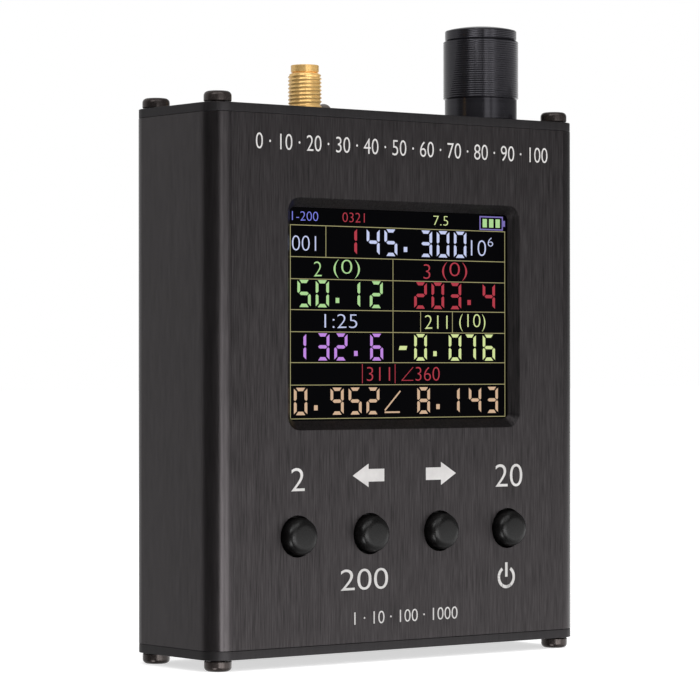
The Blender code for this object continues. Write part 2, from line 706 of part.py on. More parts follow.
def jack():
    """A board-edge coaxial jack: a block with four legs, and a barrel out through the end plate."""
    top = TOP_PLATE_HIGH + JACK_BARREL_HEIGHT + JACK_LIP_HEIGHT
    barrel, lip = JACK_BARREL_DIAMETER / 2, JACK_BARREL_DIAMETER / 2 - JACK_THREAD_DEPTH
    mouth = lip - JACK_LIP_WALL
    bore = mouth - JACK_STEP
    block_low = INSIDE_TOP - JACK_BLOCK_HEIGHT
    shelf = top - JACK_LIP_HEIGHT
    place = (JACK_X, MIDDLE, 0.0)
    shell = loft(
        "jack_shell",
        [
            circle(barrel, INSIDE_TOP - SEAT_GAP, ROUND_STEPS),
            circle(barrel, shelf - JACK_THREAD_DEPTH, ROUND_STEPS),
            circle(lip, shelf, ROUND_STEPS),
            circle(lip, top, ROUND_STEPS),
            circle(mouth, top, ROUND_STEPS),
            circle(mouth, top - JACK_MOUTH_DEPTH, ROUND_STEPS),
            circle(bore, top - JACK_MOUTH_DEPTH, ROUND_STEPS),
            circle(bore, INSIDE_TOP - SEAT_GAP, ROUND_STEPS),
        ],
        ring=True, finish="gold", place=place,
    )
    combine(shell, jack_block(block_low, place), "UNION")
    combine(shell, jack_bore(bore, block_low, place), "DIFFERENCE")
    insulator_high = top - JACK_MOUTH_DEPTH
    core = JACK_CONTACT_DIAMETER / 2
    turned(
        "jack_insulator",
        [
            (core + SEAT_GAP, block_low), (bore - SEAT_GAP, block_low),
            (bore - SEAT_GAP, insulator_high), (core + SEAT_GAP, insulator_high),
        ],
        finish="white_insulator", place=place,
    )
    hole = JACK_CONTACT_BORE / 2
    hole_low = insulator_high - JACK_CONTACT_BORE_DEPTH
    tail = JACK_TAIL_DIAMETER / 2
    tail_low = block_low - JACK_TAIL_LENGTH
    turned(
        "jack_contact",
        [
            (0.0, tail_low), (tail, tail_low), (tail, block_low), (core, block_low),
            (core, insulator_high), (hole, insulator_high), (hole, hole_low), (0.0, hole_low),
        ],
        finish="gold", place=place,
    )


def jack_block(block_low, place):
    """The square block inside the case and the legs that grip the board's edge."""
    half = JACK_BLOCK / 2
    shapes = [box_loops((-half, -half, block_low), (half, half, INSIDE_TOP))]
    front_face = RF_BOARD - MIDDLE - SEAT_GAP
    back_face = RF_BOARD_BACK - MIDDLE + SEAT_GAP
    for x in (-half, half - JACK_LEG):
        for y0, y1 in ((front_face - JACK_LEG, front_face), (back_face, half)):
            low = (x, y0, block_low - JACK_LEG_LENGTH)
            shapes.append(box_loops(low, (x + JACK_LEG, y1, block_low + JACK_LEG)))
    block = lofts("join_jack_block", shapes[:1], place=place)
    for number, shape in enumerate(shapes[1:], 1):
        combine(block, lofts(f"join_jack_leg_{number}", [shape], place=place), "UNION")
    return block


def jack_bore(bore, block_low, place):
    loops = [circle(bore, z, ROUND_STEPS) for z in (block_low - OVERRUN, INSIDE_TOP + PLATE_THICKNESS)]
    return lofts("cut_jack_bore", [loops], place=place)


def lamp():
    """The round-topped charge lamp: its flange sits under the end plate, and its leads on the board."""
    radius = LAMP_DIAMETER / 2
    flange = radius + LAMP_FLANGE
    flange_low = INSIDE_TOP - LAMP_FLANGE_HEIGHT
    high = TOP_PLATE_HIGH + LAMP_PROUD
    place = (LAMP_X, LAMP_Y, 0.0)
    body = turned(
        "charge_lamp",
        [
            (0.0, flange_low), (flange, flange_low), (flange, INSIDE_TOP), (radius, INSIDE_TOP),
            *quarter_arc(0.0, high - radius, radius, 0, 1)[:-1], (0.0, high),
        ],
        finish="lamp_lens", place=place,
    )
    half = LAMP_LEAD / 2
    for number, side in enumerate((-1, 1), 1):
        x = side * LAMP_LEAD_PITCH / 2
        low = (x - half, -half, flange_low - LAMP_LEAD_LENGTH)
        shape = box_loops(low, (x + half, half, flange_low + half))
        combine(body, lofts(f"join_lamp_lead_{number}", [shape], place=place), "UNION")


def charging_port():
    """A flat oval shell open at the top, with a tongue that stands on its floor."""
    corner = PORT_DEPTH / 2
    low, high = TOP_PLATE_HIGH - PORT_LENGTH, TOP_PLATE_HIGH
    floor = low + PORT_FLOOR
    inside = (PORT_WIDTH - 2 * PORT_WALL, PORT_DEPTH - 2 * PORT_WALL, corner - PORT_WALL)
    place = (PORT_X, PORT_Y, 0.0)
    loft(
        "port_shell",
        [
            rounded(PORT_WIDTH, PORT_DEPTH, corner, low),
            rounded(PORT_WIDTH, PORT_DEPTH, corner, high),
            rounded(*inside, high),
            rounded(*inside, floor),
        ],
        finish="steel", place=place,
    )
    tongue_low = floor + SEAT_GAP
    loft(
        "port_tongue",
        [
            rounded(TONGUE_WIDTH, TONGUE_THICKNESS, TONGUE_THICKNESS / 4, z, steps=2)
            for z in (tongue_low, high - TONGUE_RECESS)
        ],
        finish="dark_plastic", place=place,
    )


def encoder():
    """The rotary encoder: housing with bushing, nut and washer on the plate, rotor, cover and shaft."""
    axis = empty("knob_axis", (KNOB_X, MIDDLE, 0.0))
    bore = SHAFT_DIAMETER / 2 + SHAFT_CLEARANCE
    bushing = BUSHING_DIAMETER / 2
    chamber = ROTOR_DIAMETER / 2 + SEAT_GAP
    chamber_high = ROTOR_HIGH + SEAT_GAP
    loops = [
        rounded(ENCODER_SIZE, ENCODER_SIZE, ENCODER_CORNER, HOUSING_LOW, steps=SQUARE_STEPS),
        rounded(ENCODER_SIZE, ENCODER_SIZE, ENCODER_CORNER, INSIDE_TOP, steps=SQUARE_STEPS),
        circle_like_rounded(bushing, INSIDE_TOP),
        circle_like_rounded(bushing, BUSHING_HIGH),
        circle_like_rounded(bore, BUSHING_HIGH),
        circle_like_rounded(bore, chamber_high),
        circle_like_rounded(chamber, chamber_high),
        circle_like_rounded(chamber, HOUSING_LOW),
    ]
    loft("encoder_housing", loops, ring=True, finish="steel", parent=axis)
    encoder_cover(axis)
    encoder_fasteners(axis, bushing + SEAT_GAP)
    encoder_moving_pieces(axis)


def encoder_moving_pieces(axis):
    """The rotor turns with the stem of the shaft, whose flat lets it slide through when pressed."""
    stem = STEM_DIAMETER / 2
    rotor = ROTOR_DIAMETER / 2
    loft(
        "encoder_rotor",
        [
            circle(rotor, ROTOR_LOW),
            circle(rotor, ROTOR_HIGH),
            d_shape(stem + SEAT_GAP, STEM_FLAT_DEPTH, ROTOR_HIGH),
            d_shape(stem + SEAT_GAP, STEM_FLAT_DEPTH, ROTOR_LOW),
        ],
        ring=True, finish="dark_plastic", parent=axis,
    )
    shaft = SHAFT_DIAMETER / 2
    loft(
        "encoder_shaft",
        [
            d_shape(stem, STEM_FLAT_DEPTH, STEM_LOW),
            d_shape(stem, STEM_FLAT_DEPTH, SHAFT_LOW),
            circle(shaft, SHAFT_LOW),
            circle(shaft, BUSHING_HIGH + PRESS_TRAVEL),
            d_shape(shaft, SHAFT_FLAT_DEPTH, INSERT_LOW - SEAT_GAP),
            d_shape(shaft, SHAFT_FLAT_DEPTH, SHAFT_HIGH),
        ],
        finish="steel", parent=axis,
    )


def circle_like_rounded(radius, z):
    """A circle whose points match those of a rounded square, so that the two can be lofted."""
    points = []
    for quarter in range(4):
        for i in range(SQUARE_STEPS + 1):
            angle = math.pi / 2 * (quarter + (i + 1 / 2) / (SQUARE_STEPS + 1))
            points.append((radius * math.cos(angle), radius * math.sin(angle), z))
    return points


def encoder_cover(axis):
    """The plate that closes the housing from below, with the well that the stem is pressed into."""
    well = STEM_DIAMETER / 2 + SEAT_GAP
    loft(
        "encoder_cover",
        [
            rounded(ENCODER_SIZE, ENCODER_SIZE, ENCODER_CORNER, COVER_LOW, steps=SQUARE_STEPS),
            rounded(ENCODER_SIZE, ENCODER_SIZE, ENCODER_CORNER, COVER_HIGH, steps=SQUARE_STEPS),
            circle_like_rounded(well, COVER_HIGH),
            circle_like_rounded(well, COVER_LOW + COVER_FLOOR),
        ],
        finish="dark_plastic", parent=axis,
    )


def encoder_fasteners(axis, bore):
    washer = NUT_FLATS / 2
    washer_high = WASHER_LOW + WASHER_THICKNESS
    turned(
        "encoder_washer",
        [(bore, WASHER_LOW), (washer, WASHER_LOW), (washer, washer_high), (bore, washer_high)],
        finish="steel", parent=axis,
    )
    nut_high = NUT_LOW + NUT_THICKNESS
    loft(
        "encoder_nut",
        [
            hexagon(NUT_FLATS, NUT_LOW),
            hexagon(NUT_FLATS, nut_high),
            circle(bore, nut_high),
            circle(bore, NUT_LOW),
        ],
        ring=True, finish="steel", parent=axis,
    )


def knob_ribs():
    """The grip's ribs, as many as fit its height, each rising from a root to its crest and back."""
    count = max(round(KNOB_GRIP_HEIGHT / KNOB_RIB_PITCH), 1)
    pitch = KNOB_GRIP_HEIGHT / count
    points = [(GRIP_RADIUS - KNOB_RIB_DEPTH, GRIP_LOW)]
    for i in range(count):
        points.append((GRIP_RADIUS, GRIP_LOW + pitch * (i + 1 / 2)))
        points.append((GRIP_RADIUS - KNOB_RIB_DEPTH, GRIP_LOW + pitch * (i + 1)))
    return points


def knob_profile():
    """The turned outline of the knob's shell, from its lower rim over the top to the bore's end."""
    dome_radius = (RING_RADIUS**2 + KNOB_DOME**2) / 2 / KNOB_DOME
    dome = []
    for i in range(1, DOME_STEPS + 1):
        across = (RING_RADIUS - KNOB_EDGE) * (1 - i / DOME_STEPS)
        sag = dome_radius - math.sqrt(dome_radius**2 - across**2)
        dome.append((across, RING_HIGH + KNOB_DOME - sag))
    return [
        (KNOB_BORE, KNOB_LOW),
        (SKIRT_RADIUS - KNOB_EDGE, KNOB_LOW),
        (SKIRT_RADIUS, KNOB_LOW + KNOB_EDGE),
        (SKIRT_RADIUS, GRIP_LOW),
        *knob_ribs(),
        (RING_RADIUS, RING_LOW),
        (RING_RADIUS, RING_HIGH - KNOB_EDGE),
        (RING_RADIUS - KNOB_EDGE, RING_HIGH),
        *dome,
    ]


def knob():
    """A turned metal shell over a plastic insert that is pushed onto the shaft."""
    axis = bpy.data.objects["knob_axis"]
    shell = knob_profile()
    bore = [(0.0, BORE_HIGH), (KNOB_BORE, BORE_HIGH)]
    turned("knob_shell", bore + shell, KNOB_STEPS, finish="knob_black", parent=axis)
    outside = KNOB_BORE - SEAT_GAP
    hole = SHAFT_DIAMETER / 2 + SEAT_GAP
    hole_high = SHAFT_HIGH + SEAT_GAP
    loft(
        "knob_insert",
        [
            circle(outside, BORE_HIGH - SEAT_GAP, ROUND_STEPS),
            circle(outside, INSERT_LOW, ROUND_STEPS),
            d_shape(hole, SHAFT_FLAT_DEPTH, INSERT_LOW, ROUND_STEPS),
            d_shape(hole, SHAFT_FLAT_DEPTH, hole_high, ROUND_STEPS),
        ],
        finish="dark_plastic", parent=axis,
    )


def board_outline(low, high, notch_low=None, notch_x=None):
    """A board's outline in X and Z, with its upper right corner cut away where a notch is given."""
    half = INNER_HALF_WIDTH - SEAT_GAP
    upper_right = [(half, high)]
    if notch_low is not None:
        upper_right = [(half, notch_low), (notch_x, notch_low), (notch_x, high)]
    points = [(half, low), *upper_right, (-half, high), (-half, low)]
    return [(x, z, 0.0) for x, z in points]


def boards():
    """The front board carries display and switches, the other one the jack, lamp, port and battery."""
    low = BODY_LOW + BOARD_END_GAP
    encoder_floor = COVER_LOW - SEAT_GAP
    plate(
        "front_board", board_outline(low, encoder_floor), [], -BOARD_THICKNESS, 0.0,
        finish="board_green", place=(0.0, FRONT_BOARD, 0.0), turn=FACING_FRONT,
    )
    jack_edge = INSIDE_TOP - JACK_BLOCK_HEIGHT - SEAT_GAP
    notch_x = KNOB_X - ENCODER_SIZE / 2 - SEAT_GAP
    plate(
        "rf_board", board_outline(low, jack_edge, encoder_floor, notch_x), [], -BOARD_THICKNESS, 0.0,
        finish="board_green", place=(0.0, RF_BOARD, 0.0), turn=FACING_FRONT,
    )
    shield(encoder_floor)
    between_boards(low, encoder_floor)
    battery(low)


def shield(ceiling):
    """The stamped cover over the high-frequency circuit, below the jack."""
    reach = (RF_BOARD - FRONT_BOARD_BACK) * SHIELD_SPACE_SHARE
    z = ceiling - SHIELD_HEIGHT / 2 - SPACER_INSET - SPACER_DIAMETER
    bend = SHIELD_CORNER / 2
    loft(
        "rf_shield",
        [
            rounded(SHIELD_WIDTH, SHIELD_HEIGHT, SHIELD_CORNER, SEAT_GAP),
            rounded(SHIELD_WIDTH, SHIELD_HEIGHT, SHIELD_CORNER, reach - bend),
            rounded(SHIELD_WIDTH - 2 * bend, SHIELD_HEIGHT - 2 * bend, SHIELD_CORNER - bend, reach),
        ],
        finish="steel", place=(JACK_X, RF_BOARD, z), turn=FACING_FRONT,
    )


def between_boards(low, ceiling):
    """Four spacers at the boards' corners and the plug-in header near the lower edge."""
    length = RF_BOARD - FRONT_BOARD_BACK
    x = INNER_HALF_WIDTH - RAIL_REACH - SPACER_INSET
    heights = (low + SPACER_INSET, ceiling - SPACER_INSET)
    places = [(side * x, z) for side in (-1, 1) for z in heights]
    for number, (across, z) in enumerate(places, 1):
        loft(
            f"board_spacer_{number}",
            [hexagon(SPACER_DIAMETER, SEAT_GAP), hexagon(SPACER_DIAMETER, length - SEAT_GAP)],
            finish="gold", place=(across, RF_BOARD, z), turn=FACING_FRONT,
        )
    header_z = low + HEADER_UP + HEADER_WIDTH / 2
    loft(
        "board_header",
        [rounded(HEADER_LENGTH, HEADER_WIDTH, SWITCH_CORNER, z) for z in (SEAT_GAP, length - SEAT_GAP)],
        finish="dark_plastic", place=(0.0, RF_BOARD, header_z), turn=FACING_FRONT,
    )


def battery(low):
    """A flat pouch cell on the back of the board, held against the rear wall by a foam pad."""
    front = RF_BOARD_BACK + SEAT_GAP
    pad_back = INNER_BACK - SEAT_GAP
    pad_front = pad_back - PAD_THICKNESS
    cell_back = pad_front - SEAT_GAP
    edge = BATTERY_CORNER / 2
    z = low + BATTERY_UP + BATTERY_HEIGHT / 2
    narrow = (BATTERY_WIDTH - 2 * edge, BATTERY_HEIGHT - 2 * edge, BATTERY_CORNER - edge)
    wide = (BATTERY_WIDTH, BATTERY_HEIGHT, BATTERY_CORNER)
    loft(
        "battery",
        [
            rounded(*narrow, front - cell_back), rounded(*wide, front - cell_back + edge),
            rounded(*wide, -edge), rounded(*narrow, 0.0),
        ],
        finish="battery_foil", place=(0.0, front, z), turn=FACING_FRONT,
    )
    pad = (narrow[0] - 2 * PAD_MARGIN, narrow[1] - 2 * PAD_MARGIN, narrow[2])
    loft(
        "battery_pad",
        [rounded(*pad, pad_front - pad_back), rounded(*pad, 0.0)],
        finish="grey_foam", place=(0.0, pad_front, z), turn=FACING_FRONT,
    )


def main():
    clear_scene()
    case_body()
    end_plates()
    screws()
    display()
    buttons()
    jack()
    lamp()
    charging_port()
    encoder()
    knob()
    boards()


main()
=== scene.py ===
"""Looks of the handheld antenna analyzer: finishes, print, lit display, thread, turned knob and studio.

Everything is in metres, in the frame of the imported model: +Z up, -Y the side with the display.
"""
import math

import bmesh
import bpy
from mathutils import Matrix, Vector

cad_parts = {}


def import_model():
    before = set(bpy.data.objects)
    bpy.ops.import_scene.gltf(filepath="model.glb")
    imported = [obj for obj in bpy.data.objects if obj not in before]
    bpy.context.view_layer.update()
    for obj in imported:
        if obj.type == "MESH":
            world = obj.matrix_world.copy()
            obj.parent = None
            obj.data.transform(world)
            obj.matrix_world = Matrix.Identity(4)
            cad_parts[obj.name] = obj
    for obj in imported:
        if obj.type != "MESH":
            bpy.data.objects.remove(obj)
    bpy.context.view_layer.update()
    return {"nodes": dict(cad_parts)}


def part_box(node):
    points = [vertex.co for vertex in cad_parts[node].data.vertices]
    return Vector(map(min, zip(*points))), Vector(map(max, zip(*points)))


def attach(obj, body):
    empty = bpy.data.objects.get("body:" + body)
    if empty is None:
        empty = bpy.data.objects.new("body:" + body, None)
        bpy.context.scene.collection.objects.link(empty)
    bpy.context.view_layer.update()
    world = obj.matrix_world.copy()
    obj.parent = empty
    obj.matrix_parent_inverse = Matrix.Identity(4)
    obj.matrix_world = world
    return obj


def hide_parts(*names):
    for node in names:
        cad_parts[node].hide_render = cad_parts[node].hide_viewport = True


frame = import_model()

# Facets and sharp edges
ROUND_STEPS = 96
SMALL_STEPS = 48
ARC_STEPS = 6
DOME_STEPS = 8
NUMERAL_STEPS = 6
BEVEL_SEGMENTS = 2
SHARP_ANGLE = math.radians(32)
FLAT_ANGLE = math.radians(1)
FLATS_WEIGHT = 100
WELD = 1e-6

# Camera: where the photograph was taken from, and how it was aimed
CAMERA_PLACE = (-0.3503, -0.4513, 0.0514)
CAMERA_YAW = math.radians(37.56)
CAMERA_PITCH = math.radians(0.35)
CAMERA_ROLL = math.radians(-0.05)
FOCAL_PIXELS = 3177.0
IMAGE_SIDE = 700
SENSOR_WIDTH = 36.0

# Case and plates
CASE_CORNER = 0.0039
WINDOW_CHAMFER = 0.0016
CASE_EDGE = 0.0001
PLATE_EDGE = 0.00008
SEAM_FILL = 0.00014

# Noise: how strongly its finer octaves count, and the range that most of its values lie in
NOISE_ROUGHNESS = 0.6
NOISE_LOW = 0.3
NOISE_MIDDLE = 0.5
NOISE_HIGH = 0.7

# Brushed aluminium: lengths of its grain along X, Y and Z, and how it shades colour, gloss and relief
BRUSH_UPRIGHT = (0.00025, 0.00025, 0.0055)
BRUSH_BROAD_SCALE = 4.0
BRUSH_FINE_SHARE = 0.8
BRUSH_DEPTH = 0.000005
BRUSH_RELIEF = 0.35
BRUSH_RANGE = (0.34, 0.66)
BRUSH_GLOSS_SPREAD = 0.04
SATIN_CONTRAST = 0.5
# Share of the colour kept on the window's chamfer and the holes: painted shade
PAINTED_SHADE_SHARE = 0.6

# Turned metal, moulded surfaces and the boards' tracks
LATHE_PITCH = 0.00012
LATHE_DEPTH = 0.000006
LATHE_LINES_SHARE = 0.7
LATHE_GLOSS_SPREAD = (-0.04, 0.06)
GRAIN_GLOSS_SPREAD = 0.05
GRAIN_RELIEF = 0.4
CLOUD_LENGTH = 0.004
TRACK_PITCH = 0.0015
TRACK_RELIEF = 0.5
TRACK_EDGE = (0.35, 0.5)
TRACK_GLOSS = (0.25, 0.4)

# Finishes with an even grain: its length, the darker and the lighter colour, the roughness, the depth
# of the grain, and what else the shader needs
SPECKLED = {
    "screw_black": (
        0.0002, (0.038, 0.031, 0.029), (0.070, 0.057, 0.053), 0.26, 0.000006, {"Metallic": 0.6}
    ),
    "white_insulator": (
        0.0003, (0.78, 0.77, 0.73), (0.86, 0.85, 0.82), 0.45, 0.00001, {"Subsurface_Weight": 0.05}
    ),
    "button_black": (
        0.00018, (0.003, 0.0028, 0.0028), (0.006, 0.0055, 0.0055), 0.3, 0.000002,
        {"Specular_IOR_Level": 0.34},
    ),
    "display_black": (
        0.004, (0.0015, 0.0015, 0.002), (0.0025, 0.0025, 0.003), 0.16, 0.0000005,
        {"Specular_IOR_Level": 0.04},
    ),
    "dark_plastic": (0.0002, (0.012, 0.012, 0.012), (0.024, 0.024, 0.024), 0.5, 0.00001, {}),
    "steel": (0.0004, (0.50, 0.50, 0.49), (0.62, 0.62, 0.61), 0.3, 0.000004, {"Metallic": 1.0}),
    "lamp_lens": (0.0006, (0.085, 0.072, 0.064), (0.12, 0.10, 0.09), 0.22, 0.000002, {"Coat_Weight": 0.4}),
    "battery_foil": (0.003, (0.52, 0.53, 0.55), (0.66, 0.67, 0.69), 0.35, 0.0001, {"Metallic": 0.8}),
    "grey_foam": (0.0005, (0.08, 0.08, 0.08), (0.17, 0.17, 0.17), 0.9, 0.0002, {}),
    "amber_film": (0.002, (0.42, 0.2, 0.03), (0.56, 0.29, 0.06), 0.35, 0.00001, {}),
    "print_white": (0.00012, (0.62, 0.60, 0.59), (0.76, 0.74, 0.73), 0.55, 0.000003, {}),
}

# Knob
KNOB_SKIRT_HEIGHT = 0.00395
KNOB_GRIP_HEIGHT = 0.0106
KNOB_SHOULDER = 0.00035
KNOB_RING_HEIGHT = 0.0017
KNOB_DOME = 0.0008
KNOB_SKIRT_STEP = 0.0003
KNOB_RING_STEP = 0.00035
KNOB_RING_UNDERCUT = 0.00025
KNOB_WALL = 0.00078
KNOB_RIB_COUNT = 26
KNOB_RIB_DEPTH = 0.0001
KNOB_LINE_COUNT = 5
KNOB_LINE_DEPTH = 0.00005
KNOB_EDGE = 0.00012
KNOB_GRIP_CHAMFER = 0.00015
KNOB_TOP_THICKNESS = 0.0022

# One ring of the knob's top: the share of its pitch that stays plain before the groove
LINE_LAND_SHARE = 0.35

# One rib of the knob's grip: shares of its pitch along the axis, and of its depth
RIB_SHARES = ((0.0, 0.0), (0.12, 0.1), (0.38, 0.9), (0.5, 1.0), (0.62, 0.9), (0.88, 0.1))

# Coaxial jack
THREAD_PITCH = 0.00067
THREAD_DEPTH = 0.00025
THREAD_START = 0.00145
THREAD_END = 0.00695
THREAD_FADE_TURNS = 0.5
THREAD_SHARES = ((0.0, 1.0), (0.12, 1.0), (0.46, 0.0), (0.62, 0.0))
JACK_RADIUS = 0.003
JACK_UNDERCUT = 0.00025
JACK_BARREL_HEIGHT = 0.00735
JACK_LIP_RADIUS = 0.0025
JACK_LIP_WALL = 0.00035
JACK_MOUTH_DEPTH = 0.0019
JACK_BORE = 0.00185
JACK_EDGE = 0.00008

# Lamp
LAMP_RADIUS = 0.0015
LAMP_CUT = 0.0001

# Cap screws
SCREW_HEAD_HEIGHT = 0.0018
SCREW_ROUNDING = 0.0008
SCREW_SHANK = 0.00125
SOCKET_FLATS = 0.002
SOCKET_DEPTH = 0.0011
SOCKET_LEAD = 0.00015

# Buttons
BUTTON_RADIUS = 0.0032
BUTTON_ROUNDING = 0.0013
BUTTON_CROWN = 0.00004
BUTTON_FLANGE = 0.0007

# Print on the front of the case
PRINT_GAP = 0.000004
PRINT_THICKNESS = 0.000016
PRINT_THINNER_SHARE = 0.008

# Display: its grid, its active area and where it lies behind the window
GRID_WIDTH = 320
GRID_HEIGHT = 240
ACTIVE_WIDTH = 0.04896
ACTIVE_X = 0.0008
ACTIVE_Z = 0.061
PIXEL = ACTIVE_WIDTH / GRID_WIDTH
LIT_GAP = 0.00001
LIT_THICKNESS = 0.00002
PIXEL_GAP_SHARE = 0.15
PIXEL_DARK_SHARE = 0.6
LIT_THINNER_SHARE = 0.018
LIT_LINE_WIDTH = 0.8
LIT_ANGLE_WIDTH = 1.8
LIT_BATTERY_WIDTH = 1.6

# Colours of what is lit, in linear light
LIT_COLOURS = {
    "frame": (0.40, 0.37, 0.18),
    "white": (0.62, 0.68, 0.96),
    "blue": (0.24, 0.26, 0.89),
    "red": (0.49, 0.052, 0.076),
    "green": (0.46, 0.76, 0.33),
    "purple": (0.59, 0.28, 0.84),
    "lime": (0.73, 0.85, 0.37),
    "peach": (0.70, 0.48, 0.32),
    "violet": (0.22, 0.18, 0.50),
    "backdrop": (0.0008, 0.0008, 0.0014),
}

# Numbers printed on the front: text, x0, x1, z0, z1
FRONT_NUMBERS = (
    ("2", -0.0249, -0.0220, 0.0304, 0.0344),
    ("20", 0.02105, 0.02745, 0.0301, 0.0342),
    ("200", -0.0142, -0.0037, 0.0128, 0.0165),
    ("0 · 10 · 20 · 30 · 40 · 50 · 60 · 70 · 80 · 90 · 100", -0.03234, 0.03362, 0.08919, 0.09194),
    ("1 · 10 · 100 · 1000", -0.01121, 0.01214, 0.00675, 0.00895),
)

# Arrows and the power mark
ARROWS = ((-0.01153, -0.00452), (0.0118, 0.0049))
ARROW_Z = 0.03282
ARROW_HEIGHT = 0.0041
ARROW_HEAD_SHARE = 0.5
ARROW_SHAFT_SHARE = 0.54
POWER_PLACE = (0.02362, 0.01373)
POWER_RADIUS = 0.00205
POWER_INNER = 0.00148
POWER_OPENING = math.radians(32)
POWER_BAR_LOW = 0.00005
POWER_BAR_HIGH = 0.00265

# Studio lamps: name, azimuth from -Y towards +X, elevation, distance, width, height, power
SOFTBOXES = (
    ("front_softbox", 5.0, 22.0, 0.9, 0.55, 0.9, 3.2),
    ("top_softbox", 20.0, 78.0, 0.9, 0.9, 0.9, 3.0),
)
LIGHT_TARGET = (0.0, 0.0, 0.055)
WORLD_LIGHT = 0.6
WHITE = (1.0, 1.0, 1.0, 1.0)
FLOOR_HALF = 6.0
FLOOR_COLOUR = (0.8, 0.8, 0.8, 1.0)
FLOOR_GLOW = 0.62

# What gloss shows of the studio. Each set has levels round the object (degrees from -Y towards +X)
# and levels by height (sine of the elevation), which are multiplied. The even levels are the same at
# any height. A spot has its turn, elevation and radius in degrees, and its level.
LEVEL_SCALE = 6.0
STUDIO_ROUND = (
    (-180, 0.05), (-120, 0.05), (-110, 0.05), (-98, 0.05), (-82, 0.05), (-66, 0.06),
    (-56, 0.12), (-34, 0.12), (-10, 0.4), (14, 0.6), (21, 0.6), (28, 0.78), (110, 0.78), (180, 0.05),
)
STUDIO_HEIGHT = (
    (-1.0, 0.65), (-0.6, 0.65), (-0.25, 1.6), (-0.1, 2.4), (0.0, 0.45), (0.1, 0.2), (0.3, 0.2), (0.6, 0.1),
    (0.85, 0.2), (1.0, 0.6),
)
STUDIO_EVEN = (
    (-180, 0.62), (-128, 0.62), (-112, 0.12), (-100, 0.07), (-30, 0.07), (0, 0.0), (100, 0.0), (130, 0.45),
    (165, 0.6), (180, 0.62),
)
STUDIO_STRIPS = (
    (-180, 0.0), (-29, 0.0), (-26, 3.4), (-12, 3.4), (-10, 0.8), (-4, 0.8), (-2, 3.0), (4, 2.6), (11, 1.6),
    (20, 0.5), (28, 0.0), (180, 0.0),
)
STUDIO_STRIPS_HEIGHT = (
    (-1.0, 0.0), (-0.5, 0.0), (-0.25, 1.3), (-0.1, 1.85), (0.0, 0.6), (0.1, 0.28), (0.3, 0.1), (0.5, 0.0),
    (1.0, 0.0),
)
STUDIO_BARS = (
    (-180, 0.0), (-86, 0.0), (-84, 1.7), (-69, 1.7), (-67, 0.0), (-61, 0.0), (-59, 1.7), (-37, 1.7),
    (-35, 0.0), (-29, 0.0), (-27, 2.0), (-12, 2.0), (-10, 0.0), (-4, 0.0), (-2, 2.4), (11, 2.4), (14, 0.0),
    (180, 0.0),
)
STUDIO_BARS_HEIGHT = ((-1.0, 0.0), (0.4, 0.0), (0.55, 1.0), (0.88, 1.0), (0.96, 0.0), (1.0, 0.0))
STUDIO_SETS = (
    (STUDIO_ROUND, STUDIO_HEIGHT),
    (STUDIO_STRIPS, STUDIO_STRIPS_HEIGHT),
    (STUDIO_BARS, STUDIO_BARS_HEIGHT),
)
STUDIO_SPOTS = ((-66.0, -36.0, 12.0, 5.0), (-70.0, 36.0, 12.0, 2.0))
SPOT_EDGE = 4.0

# Seven-segment numerals, in pixels of the display. The shape of a stroke's ends is given in shares of
# its width, and in multiples of the gap between strokes.
CELL_WIDTH = 26.0
DIGIT_WIDTH = 18.8
DIGIT_HEIGHT = 31.0
STROKE = 3.8
SLANT_SHARE = 0.85
GAP_SHARE = 0.3
BAR_TIP_SHARE = 0.75
BAR_SHOULDER_SHARE = 1.35
NOTCH_SHARE = 0.4
UPPER_GAPS = 1.6
OUTER_GAPS = 2.6
INNER_GAPS = 2.4
DOT_PLACE = (2.5, 20.0)
DOT_SIZE = (5.1, 5.8)
NARROW_SHIFTS = {"1": -7.0, "7": -3.5}
SEGMENTS = {
    "0": "abcdef", "1": "bc", "2": "abged", "3": "abgcd", "4": "fgbc", "5": "afgcd", "6": "afgedc",
    "7": "abc", "8": "abcdefg", "9": "abcfgd",
}


def feed(tree, socket, value):
    """Gives a socket a value, or links it to another socket."""
    if isinstance(value, bpy.types.NodeSocket):
        tree.links.new(value, socket)
    else:
        socket.default_value = value


def node(tree, kind, feeds=None, **settings):
    """Adds a shader node with its options and inputs."""
    made = tree.nodes.new("ShaderNode" + kind)
    for key, value in settings.items():
        setattr(made, key, value)
    for key, value in (feeds or {}).items():
        feed(tree, made.inputs[key], value)
    return made


def object_place(tree):
    """The place of a point in its object's own frame, in metres."""
    return node(tree, "TexCoord").outputs["Object"]


def grain(tree, lengths, detail=3.0, place=None):
    """Noise whose grain has these lengths along X, Y and Z."""
    if place is None:
        place = object_place(tree)
    scaled = node(tree, "Mapping", {"Vector": place, "Scale": [1 / length for length in lengths]})
    feeds = {"Vector": scaled.outputs["Vector"], "Scale": 1.0, "Detail": detail, "Roughness": NOISE_ROUGHNESS}
    return node(tree, "TexNoise", feeds).outputs["Fac"]


def math_node(tree, operation, first, second=0.0):
    """The result of a Math node with one or two inputs."""
    made = node(tree, "Math", operation=operation)
    feed(tree, made.inputs[0], first)
    feed(tree, made.inputs[1], second)
    return made.outputs["Value"]


def ramp(tree, factor, low, high, start=NOISE_LOW, end=NOISE_HIGH):
    """Blends two colours as the factor goes from start to end."""
    made = node(tree, "ValToRGB", {"Fac": factor})
    first, last = made.color_ramp.elements
    first.position, last.position = start, end
    first.color, last.color = (*low, 1.0), (*high, 1.0)
    return made.outputs["Color"]


def spread(tree, factor, low, high, start=NOISE_LOW, end=NOISE_HIGH):
    """Maps the factor's range from start to end onto a range of values."""
    values = {"Value": factor, "From Min": start, "From Max": end, "To Min": low, "To Max": high}
    return node(tree, "MapRange", values).outputs["Result"]


